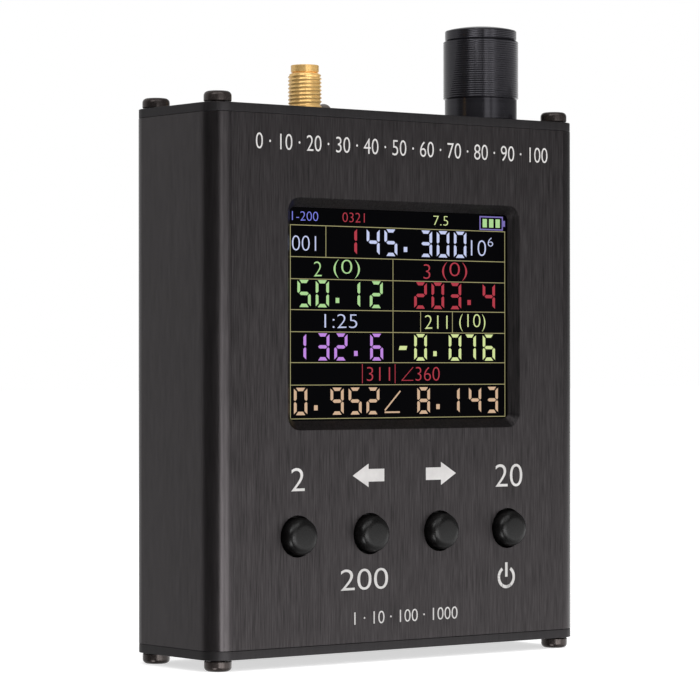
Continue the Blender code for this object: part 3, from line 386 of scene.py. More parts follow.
def darker(tree, colour, share):
    """A colour times a share."""
    made = node(tree, "VectorMath", operation="SCALE")
    feed(tree, made.inputs[0], colour)
    feed(tree, made.inputs["Scale"], share)
    return made.outputs["Vector"]


def bump(tree, height, depth, strength):
    """The normal of a surface with a relief of this depth in metres."""
    return node(tree, "Bump", {"Height": height, "Distance": depth, "Strength": strength}).outputs["Normal"]


def wire(tree, shader, **feeds):
    """Feeds a shader's inputs, named with underscores for spaces."""
    for key, value in feeds.items():
        feed(tree, shader.inputs[key.replace("_", " ")], value)


def principled(name, **constants):
    """A material whose Principled shader is set by constants. Other nodes feed it afterwards."""
    material = bpy.data.materials.new("finish_" + name)
    material.use_nodes = True
    tree = material.node_tree
    shader = tree.nodes["Principled BSDF"]
    wire(tree, shader, **constants)
    return material, tree, shader


def blend(tree, first, second, share):
    """Two values added, the first by its share and the second by the rest."""
    parts = math_node(tree, "MULTIPLY", first, share), math_node(tree, "MULTIPLY", second, 1 - share)
    return math_node(tree, "ADD", *parts)


def brushed_flats(tree):
    """1 on the broad faces of the case, which are brushed, and 0 on its sides and round corners."""
    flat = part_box("case_body")[1].x - CASE_CORNER
    across = node(tree, "SeparateXYZ", {"Vector": object_place(tree)}).outputs["X"]
    return math_node(tree, "LESS_THAN", math_node(tree, "ABSOLUTE", across), flat)


def painted_recess_shade(tree):
    """1 on what was cut into the broad faces after brushing: the window's chamfer and the holes. Their colour
    is darkened there as painted shade.
    """
    front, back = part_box("case_body")[0].y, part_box("case_body")[1].y
    depth = node(tree, "SeparateXYZ", {"Vector": object_place(tree)}).outputs["Y"]
    from_middle = math_node(tree, "ABSOLUTE", math_node(tree, "SUBTRACT", depth, (front + back) / 2))
    cut_in = math_node(tree, "LESS_THAN", from_middle, (back - front) / 2 - CASE_EDGE)
    return math_node(tree, "MULTIPLY", cut_in, brushed_flats(tree))


def anodised(name, low, high, brushed, roughness):
    """Black anodised aluminium: brushed upright on broad faces where asked, satin elsewhere. Where brushed,
    the window's chamfer and the holes get painted shade.

    The roughness is given for satin, then for brushed.
    """
    material, tree, shader = principled(name, Metallic=0.85, Anisotropic=0.5)
    fine = grain(tree, BRUSH_UPRIGHT, detail=4.0)
    broad = grain(tree, [length * BRUSH_BROAD_SCALE for length in BRUSH_UPRIGHT], detail=2.0)
    lines = blend(tree, fine, broad, BRUSH_FINE_SHARE)
    where = brushed_flats(tree) if brushed else 0.0
    contrast = spread(tree, where, SATIN_CONTRAST, 1.0, 0.0, 1.0)
    swing = math_node(tree, "MULTIPLY", math_node(tree, "SUBTRACT", lines, NOISE_MIDDLE), contrast)
    height = math_node(tree, "ADD", NOISE_MIDDLE, swing)
    scatter = spread(tree, height, -BRUSH_GLOSS_SPREAD, BRUSH_GLOSS_SPREAD)
    rough = math_node(tree, "ADD", scatter, spread(tree, where, *roughness, 0.0, 1.0))
    colour = ramp(tree, height, low, high, *BRUSH_RANGE)
    # Painted shade: the window's chamfer and the holes are darkened
    if brushed:
        colour = darker(tree, colour, spread(tree, painted_recess_shade(tree), 1.0, PAINTED_SHADE_SHARE, 0.0, 1.0))
    wire(
        tree, shader,
        Base_Color=colour,
        Roughness=rough,
        Normal=bump(tree, height, BRUSH_DEPTH, BRUSH_RELIEF),
        Tangent=node(tree, "Tangent", direction_type="RADIAL", axis="Z").outputs["Tangent"],
    )
    return material


def turned_lines(tree, centre):
    """Noise that is the same all round an upright axis, as a lathe leaves it."""
    offset = node(tree, "VectorMath", operation="SUBTRACT")
    feed(tree, offset.inputs[0], object_place(tree))
    feed(tree, offset.inputs[1], centre)
    split = node(tree, "SeparateXYZ", {"Vector": offset.outputs["Vector"]})
    squares = [math_node(tree, "POWER", split.outputs[name], 2.0) for name in "XY"]
    radius = math_node(tree, "SQRT", math_node(tree, "ADD", *squares))
    place = node(tree, "CombineXYZ", {"X": radius, "Y": split.outputs["Z"]}).outputs["Vector"]
    return grain(tree, (LATHE_PITCH,) * 3, detail=2.0, place=place)


def turned_metal(name, centre, low, high, roughness, metallic):
    """Metal with the fine rings of a lathe round its upright axis."""
    material, tree, shader = principled(name, Metallic=metallic)
    lines = turned_lines(tree, centre)
    cloud = grain(tree, (CLOUD_LENGTH,) * 3)
    mixed = blend(tree, lines, cloud, LATHE_LINES_SHARE)
    wire(
        tree, shader,
        Base_Color=ramp(tree, mixed, low, high),
        Roughness=spread(tree, mixed, *(roughness + change for change in LATHE_GLOSS_SPREAD)),
        Normal=bump(tree, lines, LATHE_DEPTH, GRAIN_RELIEF),
    )
    return material


def speckled(name, length, low, high, roughness, depth, **constants):
    """A moulded or plated surface with a fine, even grain."""
    material, tree, shader = principled(name, **constants)
    fine = grain(tree, (length,) * 3, detail=4.0)
    cloud = grain(tree, (CLOUD_LENGTH,) * 3)
    wire(
        tree, shader,
        Base_Color=ramp(tree, cloud, low, high),
        Roughness=spread(tree, fine, roughness - GRAIN_GLOSS_SPREAD, roughness + GRAIN_GLOSS_SPREAD),
        Normal=bump(tree, fine, depth, GRAIN_RELIEF),
    )
    return material


def circuit_board():
    """Green solder mask, lighter over the copper tracks under it."""
    material, tree, shader = principled("board_green", Metallic=0.0)
    place = node(tree, "Mapping", {"Vector": object_place(tree), "Scale": (1 / TRACK_PITCH,) * 3})
    cells = node(tree, "TexVoronoi", {"Vector": place.outputs["Vector"], "Scale": 1.0}, distance="MANHATTAN")
    tracks = cells.outputs["Distance"]
    wire(
        tree, shader,
        Base_Color=ramp(tree, tracks, (0.02, 0.16, 0.07), (0.008, 0.075, 0.03), *TRACK_EDGE),
        Roughness=spread(tree, tracks, *TRACK_GLOSS),
        Normal=bump(tree, tracks, BRUSH_DEPTH, TRACK_RELIEF),
    )
    return material


def lit(name, colour):
    """The light of display pixels, with the dark lattice between them."""
    material, tree, shader = principled(
        "lit_" + name, Base_Color=(0.0, 0.0, 0.0, 1.0), Roughness=0.4, Specular_IOR_Level=0.02
    )
    place = node(tree, "Mapping", {"Vector": object_place(tree), "Scale": (1 / PIXEL,) * 3})
    split = node(tree, "SeparateXYZ", {"Vector": place.outputs["Vector"]})
    gaps = [
        math_node(tree, "GREATER_THAN", math_node(tree, "FRACT", split.outputs[name]), PIXEL_GAP_SHARE)
        for name in "XZ"
    ]
    both = math_node(tree, "MULTIPLY", *gaps)
    wire(
        tree, shader,
        Emission_Color=ramp(tree, both, [c * PIXEL_DARK_SHARE for c in colour], colour, 0.0, 1.0),
        Emission_Strength=1.0,
    )
    return material


def finishes():
    """Every finish by its name in the record, and those that only this script uses."""
    made = {
        "anodised_black": anodised(
            "anodised_black", (0.0255, 0.0228, 0.0237), (0.066, 0.0594, 0.0616), True, (0.22, 0.35)
        ),
        "plate_black": anodised(
            "plate_black", (0.026, 0.0243, 0.0253), (0.044, 0.041, 0.043), False, (0.42, 0.42)
        ),
        "knob_black": turned_metal(
            "knob_black", middle("knob_shell"), (0.026, 0.025, 0.030), (0.044, 0.042, 0.050), 0.15, 0.6
        ),
        "gold": turned_metal(
            "gold", middle("jack_shell"), (1.0, 0.57, 0.17), (1.0, 0.71, 0.30), 0.21, 0.42
        ),
        "board_green": circuit_board(),
    }
    for name, (*look, constants) in SPECKLED.items():
        made[name] = speckled(name, *look, **constants)
    for name, colour in LIT_COLOURS.items():
        made["lit_" + name] = lit(name, colour)
    return made


def middle(node_name):
    """The middle of a node's box."""
    low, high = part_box(node_name)
    return (low + high) / 2


def add_rows(bm, rows):
    """Joins closed rows of equal count with quads. Rows that are one point close the shape."""
    made = [[bm.verts.new(point) for point in row] for row in rows]
    count = len(made[0])
    for low, high in zip(made, made[1:]):
        for i in range(count):
            j = (i + 1) % count
            bm.faces.new((low[i], low[j], high[j], high[i]))


def ring(centre, radius, along, axis="Z", steps=ROUND_STEPS):
    """A circle about an axis through the centre, at a place along that axis."""
    points = []
    for i in range(steps):
        angle = 2 * math.pi * i / steps
        a, b = radius * math.cos(angle), radius * math.sin(angle)
        if axis == "Z":
            points.append((centre[0] + a, centre[1] + b, along))
        else:
            points.append((centre[0] + a, along, centre[2] + b))
    return points


def hexagon(centre, flats, along, steps=SMALL_STEPS):
    """A hexagon with as many points as the round row that it is joined to."""
    points = []
    for i in range(steps):
        angle = 2 * math.pi * i / steps
        radius = flats / 2 / math.cos(math.fmod(angle, math.pi / 3) - math.pi / 6)
        points.append((centre[0] + radius * math.cos(angle), centre[1] + radius * math.sin(angle), along))
    return points


def arc(radius, along, rounding, start, end, steps=ARC_STEPS):
    """Points of a turned profile's rounding, between two angles in quarter turns."""
    points = []
    for i in range(steps + 1):
        angle = math.pi / 2 * (start + (end - start) * i / steps)
        points.append((radius + rounding * math.cos(angle), along + rounding * math.sin(angle)))
    return points


def revolve(bm, profile, centre, axis="Z", steps=ROUND_STEPS):
    """Turns a profile of radii and places along an axis."""
    add_rows(bm, [ring(centre, radius, along, axis, steps) for radius, along in profile])


def tidy(bm):
    """Merges the points of closing rows and turns every face outwards."""
    bmesh.ops.remove_doubles(bm, verts=bm.verts, dist=WELD)
    bmesh.ops.recalc_face_normals(bm, faces=bm.faces)


def make_piece(name, bm, finish, body, replaced=()):
    """A finished piece of the visual model, riding on its body."""
    tidy(bm)
    mesh = bpy.data.meshes.new(name)
    bm.to_mesh(mesh)
    bm.free()
    mesh.shade_smooth()
    mesh.set_sharp_from_angle(angle=SHARP_ANGLE)
    mesh.materials.append(FINISHES[finish])
    piece = bpy.data.objects.new(name, mesh)
    bpy.context.scene.collection.objects.link(piece)
    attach(piece, body)
    if replaced:
        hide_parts(*replaced)
    return piece


def node_mesh(node_name):
    """A copy of a CAD node's mesh, with its split corners welded."""
    bm = bmesh.new()
    bm.from_mesh(frame["nodes"][node_name].data)
    bmesh.ops.remove_doubles(bm, verts=bm.verts, dist=WELD)
    return bm


def softened(name, node_name, finish, width, wanted, shift=lambda height: 0.0):
    """A node with its wanted sharp edges rounded, and its points shifted along Z by their height."""
    bm = node_mesh(node_name)
    bmesh.ops.dissolve_limit(bm, angle_limit=FLAT_ANGLE, verts=bm.verts, edges=bm.edges)
    for vertex in bm.verts:
        vertex.co.z += shift(vertex.co.z)
    edges = [
        edge for edge in bm.edges
        if edge.is_manifold and edge.calc_face_angle() > SHARP_ANGLE
        and wanted((edge.verts[0].co + edge.verts[1].co) / 2)
    ]
    bmesh.ops.bevel(
        bm, geom=edges, offset=width, offset_type="OFFSET", segments=BEVEL_SEGMENTS, profile=0.5,
        affect="EDGES", clamp_overlap=True,
    )
    keep_flats(make_piece(name, bm, finish, "case", [node_name]))


def keep_flats(piece):
    """Lets broad flat faces keep their own normals, so that their rounded edges don't shade them."""
    change = piece.modifiers.new("flats", "WEIGHTED_NORMAL")
    change.keep_sharp = True
    change.weight = FLATS_WEIGHT
    graph = bpy.context.evaluated_depsgraph_get()
    shaded = bpy.data.meshes.new_from_object(piece.evaluated_get(graph), depsgraph=graph)
    piece.modifiers.clear()
    piece.data = shaded


def lower_part(bm, node_name, level):
    """Adds what of a node lies below a level, closed there."""
    part = node_mesh(node_name)
    geometry = part.verts[:] + part.edges[:] + part.faces[:]
    cut = bmesh.ops.bisect_plane(
        part, geom=geometry, plane_co=(0.0, 0.0, level), plane_no=(0.0, 0.0, 1.0), clear_outer=True
    )
    rim = [item for item in cut["geom_cut"] if isinstance(item, bmesh.types.BMEdge)]
    bmesh.ops.contextual_create(part, geom=rim)
    kept = bpy.data.meshes.new(node_name + "_below")
    part.to_mesh(kept)
    part.free()
    bm.from_mesh(kept)
    bpy.data.meshes.remove(kept)


def case_and_plates():
    """The sleeve and both end plates, with their outer edges deburred."""
    front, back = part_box("case_body")[0].y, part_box("case_body")[1].y
    half_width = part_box("case_body")[1].x

    def case_edge(point):
        """Whether an edge is at the front, the back or a side, rather than inside the sleeve."""
        at_front = point.y < front + WINDOW_CHAMFER + CASE_EDGE
        at_side = abs(point.x) > half_width - CASE_CORNER
        return at_front or at_side or point.y > back - CASE_EDGE

    softened("case_sleeve", "case_body", "anodised_black", CASE_EDGE, case_edge)
    top_seat, bottom_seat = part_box("top_plate")[0].z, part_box("bottom_plate")[1].z

    def closed_seam(height):
        """Brings the plates' inner faces close to the sleeve's ends."""
        at_top, at_bottom = abs(height - top_seat) < WELD, abs(height - bottom_seat) < WELD
        return SEAM_FILL * (at_bottom - at_top)

    for name in ("top_plate", "bottom_plate"):
        softened(name + "_deburred", name, "plate_black", PLATE_EDGE, lambda point: True, closed_seam)


def knob_rows(low, radius):
    """The knob's turned outline from its lower rim to the middle of its top."""
    skirt = radius - KNOB_SKIRT_STEP
    ring_radius = radius - KNOB_RING_STEP
    grip_low = low + KNOB_SKIRT_HEIGHT
    pitch = KNOB_GRIP_HEIGHT / KNOB_RIB_COUNT
    rows = [(skirt - KNOB_EDGE, low), (skirt, low + KNOB_EDGE), (skirt, grip_low - KNOB_GRIP_CHAMFER)]
    for i in range(KNOB_RIB_COUNT):
        for along_share, depth_share in RIB_SHARES:
            rows.append((radius - KNOB_RIB_DEPTH * (1 - depth_share), grip_low + pitch * (i + along_share)))
    grip_high = grip_low + KNOB_GRIP_HEIGHT
    ring_low = grip_high + KNOB_SHOULDER
    rows += [
        (radius - KNOB_RIB_DEPTH, grip_high), (ring_radius - KNOB_RING_UNDERCUT, grip_high),
        (ring_radius, ring_low),
    ]
    line_pitch = (KNOB_RING_HEIGHT - KNOB_EDGE) / KNOB_LINE_COUNT
    for i in range(KNOB_LINE_COUNT):
        start = ring_low + line_pitch * i
        rows += [
            (ring_radius, start + line_pitch * LINE_LAND_SHARE),
            (ring_radius - KNOB_LINE_DEPTH, start + line_pitch * (1 + LINE_LAND_SHARE) / 2),
            (ring_radius, start + line_pitch),
        ]
    rim = ring_low + KNOB_RING_HEIGHT
    rows.append((ring_radius - KNOB_EDGE, rim))
    dome_radius = (ring_radius**2 + KNOB_DOME**2) / 2 / KNOB_DOME
    for i in range(1, DOME_STEPS + 1):
        across = (ring_radius - KNOB_EDGE) * (1 - i / DOME_STEPS)
        sag = dome_radius - math.sqrt(dome_radius**2 - across**2)
        rows.append((across, rim + KNOB_DOME - sag))
    return rows


def knob():
    """The knob's shell: its turned outline over a plain bore."""
    low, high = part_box("knob_shell")
    centre = middle("knob_shell")
    radius = (high.x - low.x) / 2
    bore = radius - KNOB_SKIRT_STEP - KNOB_WALL
    bore_high = high.z - KNOB_DOME - KNOB_TOP_THICKNESS
    inside = [(0.0, bore_high), (bore, bore_high), (bore, low.z)]
    bm = bmesh.new()
    revolve(bm, inside + knob_rows(low.z, radius), centre)
    make_piece("knob_turned_shell", bm, "knob_black", "knob", ["knob_shell"])


def thread_rows(centre, radius, start, end, steps=ROUND_STEPS):
    """Rows that follow a helix from start to end, and lie flat where they meet its ends."""
    turns = math.ceil((end - start) / THREAD_PITCH) + 1
    rows = []
    for turn in range(-1, turns):
        for share, depth_share in THREAD_SHARES:
            row = []
            for i in range(steps + 1):
                angle = 2 * math.pi * i / steps
                along = start + THREAD_PITCH * (turn + share + i / steps)
                level = min(max(along, start), end)
                turns_left = min((level - start) / THREAD_PITCH, (end - level) / THREAD_PITCH)
                fade = min(turns_left, THREAD_FADE_TURNS) / THREAD_FADE_TURNS
                reach = radius - THREAD_DEPTH * (1 - depth_share * fade)
                row.append((centre[0] + reach * math.cos(angle), centre[1] + reach * math.sin(angle), level))
            rows.append(row)
    return rows


def open_ring(centre, radius, along, steps=ROUND_STEPS):
    """A round row that repeats its first point, as the rows of a helix do."""
    points = ring(centre, radius, along, "Z", steps)
    return points + points[:1]


def add_open_rows(bm, rows):
    """Joins rows whose two ends meet elsewhere in the mesh. Welding closes them."""
    made = [[bm.verts.new(point) for point in row] for row in rows]
    for low, high in zip(made, made[1:]):
        for i in range(len(low) - 1):
            bm.faces.new((low[i], low[i + 1], high[i + 1], high[i]))


def jack():
    """The jack's threaded barrel over its block, with an undercut below a plain lip."""
    centre = middle("jack_shell")
    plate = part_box("top_plate")[1].z
    plate_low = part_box("top_plate")[0].z
    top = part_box("jack_shell")[1].z
    radius = JACK_RADIUS
    root = radius - THREAD_DEPTH
    thread_low, thread_high = plate + THREAD_START, plate + THREAD_END
    undercut = JACK_LIP_RADIUS - JACK_UNDERCUT
    lip_low = plate + JACK_BARREL_HEIGHT
    mouth = JACK_LIP_RADIUS - JACK_LIP_WALL
    mouth_floor = top - JACK_MOUTH_DEPTH
    foot = plate_low - JACK_EDGE
    below = [(JACK_BORE, foot), (radius, foot), (radius, thread_low - THREAD_DEPTH), (root, thread_low)]
    above = [
        (root, thread_high), (undercut, thread_high + JACK_UNDERCUT), (undercut, lip_low - JACK_EDGE),
        (JACK_LIP_RADIUS - JACK_EDGE, lip_low - JACK_EDGE), (JACK_LIP_RADIUS, lip_low),
        (JACK_LIP_RADIUS, top - JACK_EDGE), (JACK_LIP_RADIUS - JACK_EDGE, top),
        (mouth + JACK_EDGE, top), (mouth, top - JACK_EDGE), (mouth, mouth_floor),
        (JACK_BORE, mouth_floor), (JACK_BORE, foot),
    ]
    rows = [open_ring(centre, r, z) for r, z in below]
    rows += thread_rows(centre, radius, thread_low, thread_high)
    rows += [open_ring(centre, r, z) for r, z in above]
    bm = bmesh.new()
    add_open_rows(bm, rows)
    lower_part(bm, "jack_shell", plate_low - 2 * JACK_EDGE)
    make_piece("jack_threaded_shell", bm, "gold", "case", ["jack_shell"])


def screw(node_name):
    """A socket cap screw with a rounded head, facing up or down as its node does."""
    low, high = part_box(node_name)
    centre = middle(node_name)
    radius = (high.x - low.x) / 2
    length = high.z - low.z
    up = node_name.startswith("top")

    def level(height):
        """Z of a height above the screw's tip."""
        return low.z + height if up else high.z - height

    rim = arc(radius - SCREW_ROUNDING, length - SCREW_ROUNDING, SCREW_ROUNDING, 0, 1)
    underside = length - SCREW_HEAD_HEIGHT
    profile = [(0.0, 0.0), (SCREW_SHANK, 0.0), (SCREW_SHANK, underside), (radius - SOCKET_LEAD, underside)]
    profile += [(radius, underside + SOCKET_LEAD), *rim]
    rows = [ring(centre, r, level(h), "Z", SMALL_STEPS) for r, h in profile]
    rows += [
        hexagon(centre, SOCKET_FLATS + 2 * SOCKET_LEAD, level(length)),
        hexagon(centre, SOCKET_FLATS, level(length - SOCKET_LEAD)),
        hexagon(centre, SOCKET_FLATS, level(length - SOCKET_DEPTH)),
        ring(centre, 0.0, level(length - SOCKET_DEPTH - SOCKET_LEAD), "Z", SMALL_STEPS),
    ]
    bm = bmesh.new()
    add_rows(bm, rows)
    make_piece(node_name + "_turned", bm, "screw_black", "case", [node_name])


def button(number):
    """A push button with a faintly domed face that runs into its rounded rim."""
    node_name = f"button_cap_{number}"
    low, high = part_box(node_name)
    centre = middle(node_name)
    flange = (high.x - low.x) / 2
    tip = low.y
    dome_slope = math.atan(2 * BUTTON_CROWN / BUTTON_RADIUS)
    rim = arc(BUTTON_RADIUS - BUTTON_ROUNDING, 0.0, BUTTON_ROUNDING, 0, 1 - dome_slope / (math.pi / 2))
    dome, rise = rim[-1]
    seat = high.y - BUTTON_FLANGE
    profile = [(0.0, high.y), (flange, high.y), (flange, seat), (BUTTON_RADIUS, seat)]
    profile += [(r, tip + BUTTON_CROWN + rise - h) for r, h in rim]
    for i in range(1, DOME_STEPS + 1):
        share = 1 - i / DOME_STEPS
        profile.append((dome * share, tip + BUTTON_CROWN * share**2))
    bm = bmesh.new()
    revolve(bm, profile, centre, "Y", SMALL_STEPS * 2)
    make_piece(f"button_{number}_moulded", bm, "button_black", f"button_{number}", [node_name])


def lamp():
    """The lamp's dome above the plate, over the flange and leads below it."""
    low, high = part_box("charge_lamp")
    centre = middle("charge_lamp")
    plate_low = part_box("top_plate")[0].z
    dome = high.z - LAMP_RADIUS
    cut = plate_low - LAMP_CUT
    profile = [(0.0, cut), (LAMP_RADIUS, cut), *arc(0.0, dome, LAMP_RADIUS, 0, 1, 2 * ARC_STEPS)]
    bm = bmesh.new()
    revolve(bm, profile, centre, "Z", SMALL_STEPS)
    lower_part(bm, "charge_lamp", cut - JACK_EDGE)
    make_piece("lamp_dome", bm, "lamp_lens", "case", ["charge_lamp"])


def prism(bm, points, back, thickness):
    """An upright shape given by its X and Z, with its back at a depth and its face towards -Y."""
    rows = [[bm.verts.new((x, y, z)) for x, z in points] for y in (back, back - thickness)]
    bm.faces.new(rows[0])
    bm.faces.new(rows[1])
    count = len(points)
    for i in range(count):
        j = (i + 1) % count
        bm.faces.new((rows[0][i], rows[0][j], rows[1][j], rows[1][i]))


def rectangle(x0, x1, z0, z1):
    """The corners of a rectangle."""
    return [(x0, z0), (x1, z0), (x1, z1), (x0, z1)]


def add_numerals(bm, body, box, back, thickness, thinner):
    """Numerals fitted to a box (x0, x1, z0, z1), with strokes thinned by a share of their height."""
    curve = bpy.data.curves.new("numerals", "FONT")
    curve.body = body
    curve.offset = -thinner
    curve.extrude = 1 / 2
    curve.resolution_u = NUMERAL_STEPS
    holder = bpy.data.objects.new("numerals", curve)
    bpy.context.scene.collection.objects.link(holder)
    graph = bpy.context.evaluated_depsgraph_get()
    mesh = bpy.data.meshes.new_from_object(holder.evaluated_get(graph))
    xs = [v.co.x for v in mesh.vertices]
    ys = [v.co.y for v in mesh.vertices]
    x0, x1, z0, z1 = box
    for vertex in mesh.vertices:
        x, y, z = vertex.co
        vertex.co = (
            x0 + (x1 - x0) * (x - min(xs)) / (max(xs) - min(xs)),
            back - thickness * (z + 1 / 2),
            z0 + (z1 - z0) * (y - min(ys)) / (max(ys) - min(ys)),
        )
    bm.from_mesh(mesh)
    bpy.data.objects.remove(holder)
    bpy.data.curves.remove(curve)
    bpy.data.meshes.remove(mesh)


def grid_point(across, down):
    """X and Z of a place in the display's grid, counted from its upper left corner."""
    return ACTIVE_X + (across - GRID_WIDTH / 2) * PIXEL, ACTIVE_Z + (GRID_HEIGHT / 2 - down) * PIXEL


def lit_shape(bm, outline):
    """A lit shape given by grid points, just in front of the panel."""
    prism(bm, [grid_point(*point) for point in outline], LIT_BACK, LIT_THICKNESS)


def lit_line(bm, x0, y0, x1, y1, width=LIT_LINE_WIDTH):
    """A straight lit line between two grid points."""
    along = Vector((x1 - x0, y1 - y0)).normalized() * width / 2
    side = Vector((-along.y, along.x))
    ends = (Vector((x0, y0)) - along, Vector((x1, y1)) + along)
    outline = (ends[0] + side, ends[1] + side, ends[1] - side, ends[0] - side)
    lit_shape(bm, [tuple(point) for point in outline])


def segment_outlines():
    """The seven strokes of a numeral, each with slanted ends that leave gaps between neighbours."""
    w, h, t = DIGIT_WIDTH, DIGIT_HEIGHT, STROKE
    slant, gap = t * SLANT_SHARE, t * GAP_SHARE
    tip, shoulder = t * BAR_TIP_SHARE, t * BAR_SHOULDER_SHARE
    mid = h / 2
    upper = [
        (w, gap), (w, mid - gap * UPPER_GAPS), (w - t * NOTCH_SHARE, mid - gap / 2),
        (w - t, mid - t / 2 - gap / 2), (w - t, slant + gap),
    ]
    outer, inner = gap * OUTER_GAPS, gap * INNER_GAPS
    top = [(outer, 0.0), (w - outer, 0.0), (w - slant - inner, t), (slant + inner, t)]
    bar = [
        (tip, mid), (shoulder, mid - t / 2), (w - shoulder, mid - t / 2),
        (w - tip, mid), (w - shoulder, mid + t / 2), (shoulder, mid + t / 2),
    ]

    def left(outline):
        """A stroke mirrored from the right half to the left."""
        return [(w - x, y) for x, y in outline]

    def low(outline):
        """A stroke mirrored from the upper half to the lower."""
        return [(x, h - y) for x, y in outline]

    return {
        "a": top, "b": upper, "c": low(upper), "d": low(top), "e": low(left(upper)), "f": left(upper),
        "g": bar,
    }


def lit_number(bm, text, across, down):
    """Seven-segment numerals from a place in the grid rightwards, one cell each."""
    outlines = segment_outlines()
    for character in text:
        if character == ".":
            x, y = across + DOT_PLACE[0], down + DOT_PLACE[1]
            lit_shape(bm, rectangle(x, x + DOT_SIZE[0], y, y + DOT_SIZE[1]))
        shift = NARROW_SHIFTS.get(character, 0.0)
        for stroke in SEGMENTS.get(character, ""):
            lit_shape(bm, [(across + shift + x, down + y) for x, y in outlines[stroke]])
        across += CELL_WIDTH


def lit_text(bm, body, x0, x1, y0, y1):
    """Small numerals and marks fitted to a box in the grid."""
    left, high = grid_point(x0, y0)
    right, low = grid_point(x1, y1)
    add_numerals(bm, body, (left, right, low, high), LIT_BACK, LIT_THICKNESS, LIT_THINNER_SHARE)


def lit_piece(name, colour, draw):
    """Everything on the display that has one colour, as one piece."""
    bm = bmesh.new()
    draw(bm)
    make_piece(name, bm, "lit_" + colour, "case")


def draw_backdrop(bm):
    """The faint glow of the whole active area, behind what is lit."""
    x0, z1 = grid_point(0, 0)
    x1, z0 = grid_point(GRID_WIDTH, GRID_HEIGHT)
    prism(bm, rectangle(x0, x1, z0, z1), LIT_BACK + LIT_THICKNESS + LIT_GAP / 2, LIT_THICKNESS)


def draw_frame(bm):
    """The table's rules: borders, rows, and the dividers of each row."""
    left, right, top, bottom = 0.6, 318.2, 19, 238.7
    for down in (top, 55, 80, 115, 140, 175, 200.5, bottom):
        lit_line(bm, left, down, right, down)
    for across in (left, right):
        lit_line(bm, across, top, across, bottom)
    for across, down, end in ((51, top, 55), (148.5, 55, 175), (189.5, 115, 140), (237.5, 115, 140)):
        lit_line(bm, across, down, across, end)


def draw_white(bm):
    """The large value in the upper row, and the small white marks."""
    lit_number(bm, "45.300", 110, 20.5)
    lit_text(bm, "001", 3, 37, 31, 48)
    lit_text(bm, "10", 266, 289, 30, 48.5)
    lit_text(bm, "6", 292, 300, 26.5, 37)
    lit_text(bm, "1:25", 49, 96, 119.5, 135.5)


def draw_red(bm):
    """The red values and headings, with a mark for an angle and two dividers."""
    lit_number(bm, "1", 84, 20.5)
    lit_number(bm, "203.4", 180, 81)
    lit_text(bm, "0321", 75, 107, 3, 14)
    lit_text(bm, "3", 194, 204, 60, 77)
    lit_text(bm, "(0)", 222, 260, 57, 78.5)
    lit_text(bm, "311", 110, 144, 180, 196)
    lit_text(bm, "360", 182, 218, 180, 196)
    lit_line(bm, 161.5, 195.5, 178, 180.5)
    lit_line(bm, 161.5, 195.5, 178, 195.5)
    for across in (103.5, 151.5):
        lit_line(bm, across, 177, across, 198.5)


def draw_green(bm):
    """The green value and heading, and the battery's charge."""
    lit_number(bm, "50.12", 10.5, 81)
    lit_text(bm, "2", 34, 45, 60, 77)
    lit_text(bm, "(0)", 62, 100, 57, 78.5)
    for across in (284, 294, 304):
        lit_shape(bm, rectangle(across, across + 6.5, 4.5, 14.5))


def draw_purple(bm):
    """The purple value."""
    lit_number(bm, "132.6", 11, 141.5)


def draw_lime(bm):
    """The lime value with its minus sign, and its headings."""
    lit_number(bm, "0.076", 180, 141.5)
    lit_shape(bm, [(158.5, 155.5), (169.5, 155.5), (168, 160.2), (157, 160.2)])
    lit_text(bm, "211", 196, 230, 119.5, 135.5)
    lit_text(bm, "(10)", 248, 288, 117.5, 138)
    lit_text(bm, "7.5", 209, 231, 3, 14)


def draw_peach(bm):
    """The two values of the lowest row, with a mark for an angle between them."""
    lit_number(bm, "0.952", 5.5, 203.5)
    lit_number(bm, "8.143", 184.5, 203.5)
    lit_line(bm, 137, 229.5, 158.5, 208.5, LIT_ANGLE_WIDTH)
    lit_line(bm, 137, 232.3, 157.5, 232.3, LIT_ANGLE_WIDTH)


def draw_blue(bm):
    """The mark in the upper left corner."""
    lit_text(bm, "1-200", 3, 40, 3.5, 14)


def draw_battery(bm):
    """A battery's outline with its nub."""
    x0, x1, y0, y1 = 280, 314.5, 2, 17
    for line in ((x0, y0, x1, y0), (x0, y1, x1, y1), (x0, y0, x0, y1), (x1, y0, x1, y1)):
        lit_line(bm, *line, LIT_BATTERY_WIDTH)
    lit_shape(bm, rectangle(315.6, 318.6, 6, 13))


def display_content():
    """What the display shows, one piece for each colour."""
    for name, colour, draw in (
        ("lit_area", "backdrop", draw_backdrop), ("lit_frame", "frame", draw_frame),
        ("lit_white", "white", draw_white), ("lit_red", "red", draw_red),
        ("lit_green", "green", draw_green), ("lit_purple", "purple", draw_purple),
        ("lit_lime", "lime", draw_lime), ("lit_peach", "peach", draw_peach),
        ("lit_blue", "blue", draw_blue), ("lit_battery", "violet", draw_battery),
    ):
        lit_piece(name, colour, draw)


def printed(name, draw):
    """White print on the front of the case."""
    bm = bmesh.new()
    draw(bm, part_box("case_body")[0].y - PRINT_GAP)
    make_piece(name, bm, "print_white", "case")


def print_numbers(bm, back):
    """Plain numbers where the case has lettering."""
    for body, x0, x1, z0, z1 in FRONT_NUMBERS:
        add_numerals(bm, body, (x0, x1, z0, z1), back, PRINT_THICKNESS, PRINT_THINNER_SHARE)


def print_arrows(bm, back):
    """Two filled arrows that point away from each other."""
    for tip, tail in ARROWS:
        neck = tip + (tail - tip) * ARROW_HEAD_SHARE
        half, shaft = ARROW_HEIGHT / 2, ARROW_HEIGHT / 2 * ARROW_SHAFT_SHARE
        outline = [
            (tip, ARROW_Z), (neck, ARROW_Z + half), (neck, ARROW_Z + shaft), (tail, ARROW_Z + shaft),
            (tail, ARROW_Z - shaft), (neck, ARROW_Z - shaft), (neck, ARROW_Z - half),
        ]
        prism(bm, outline, back, PRINT_THICKNESS)


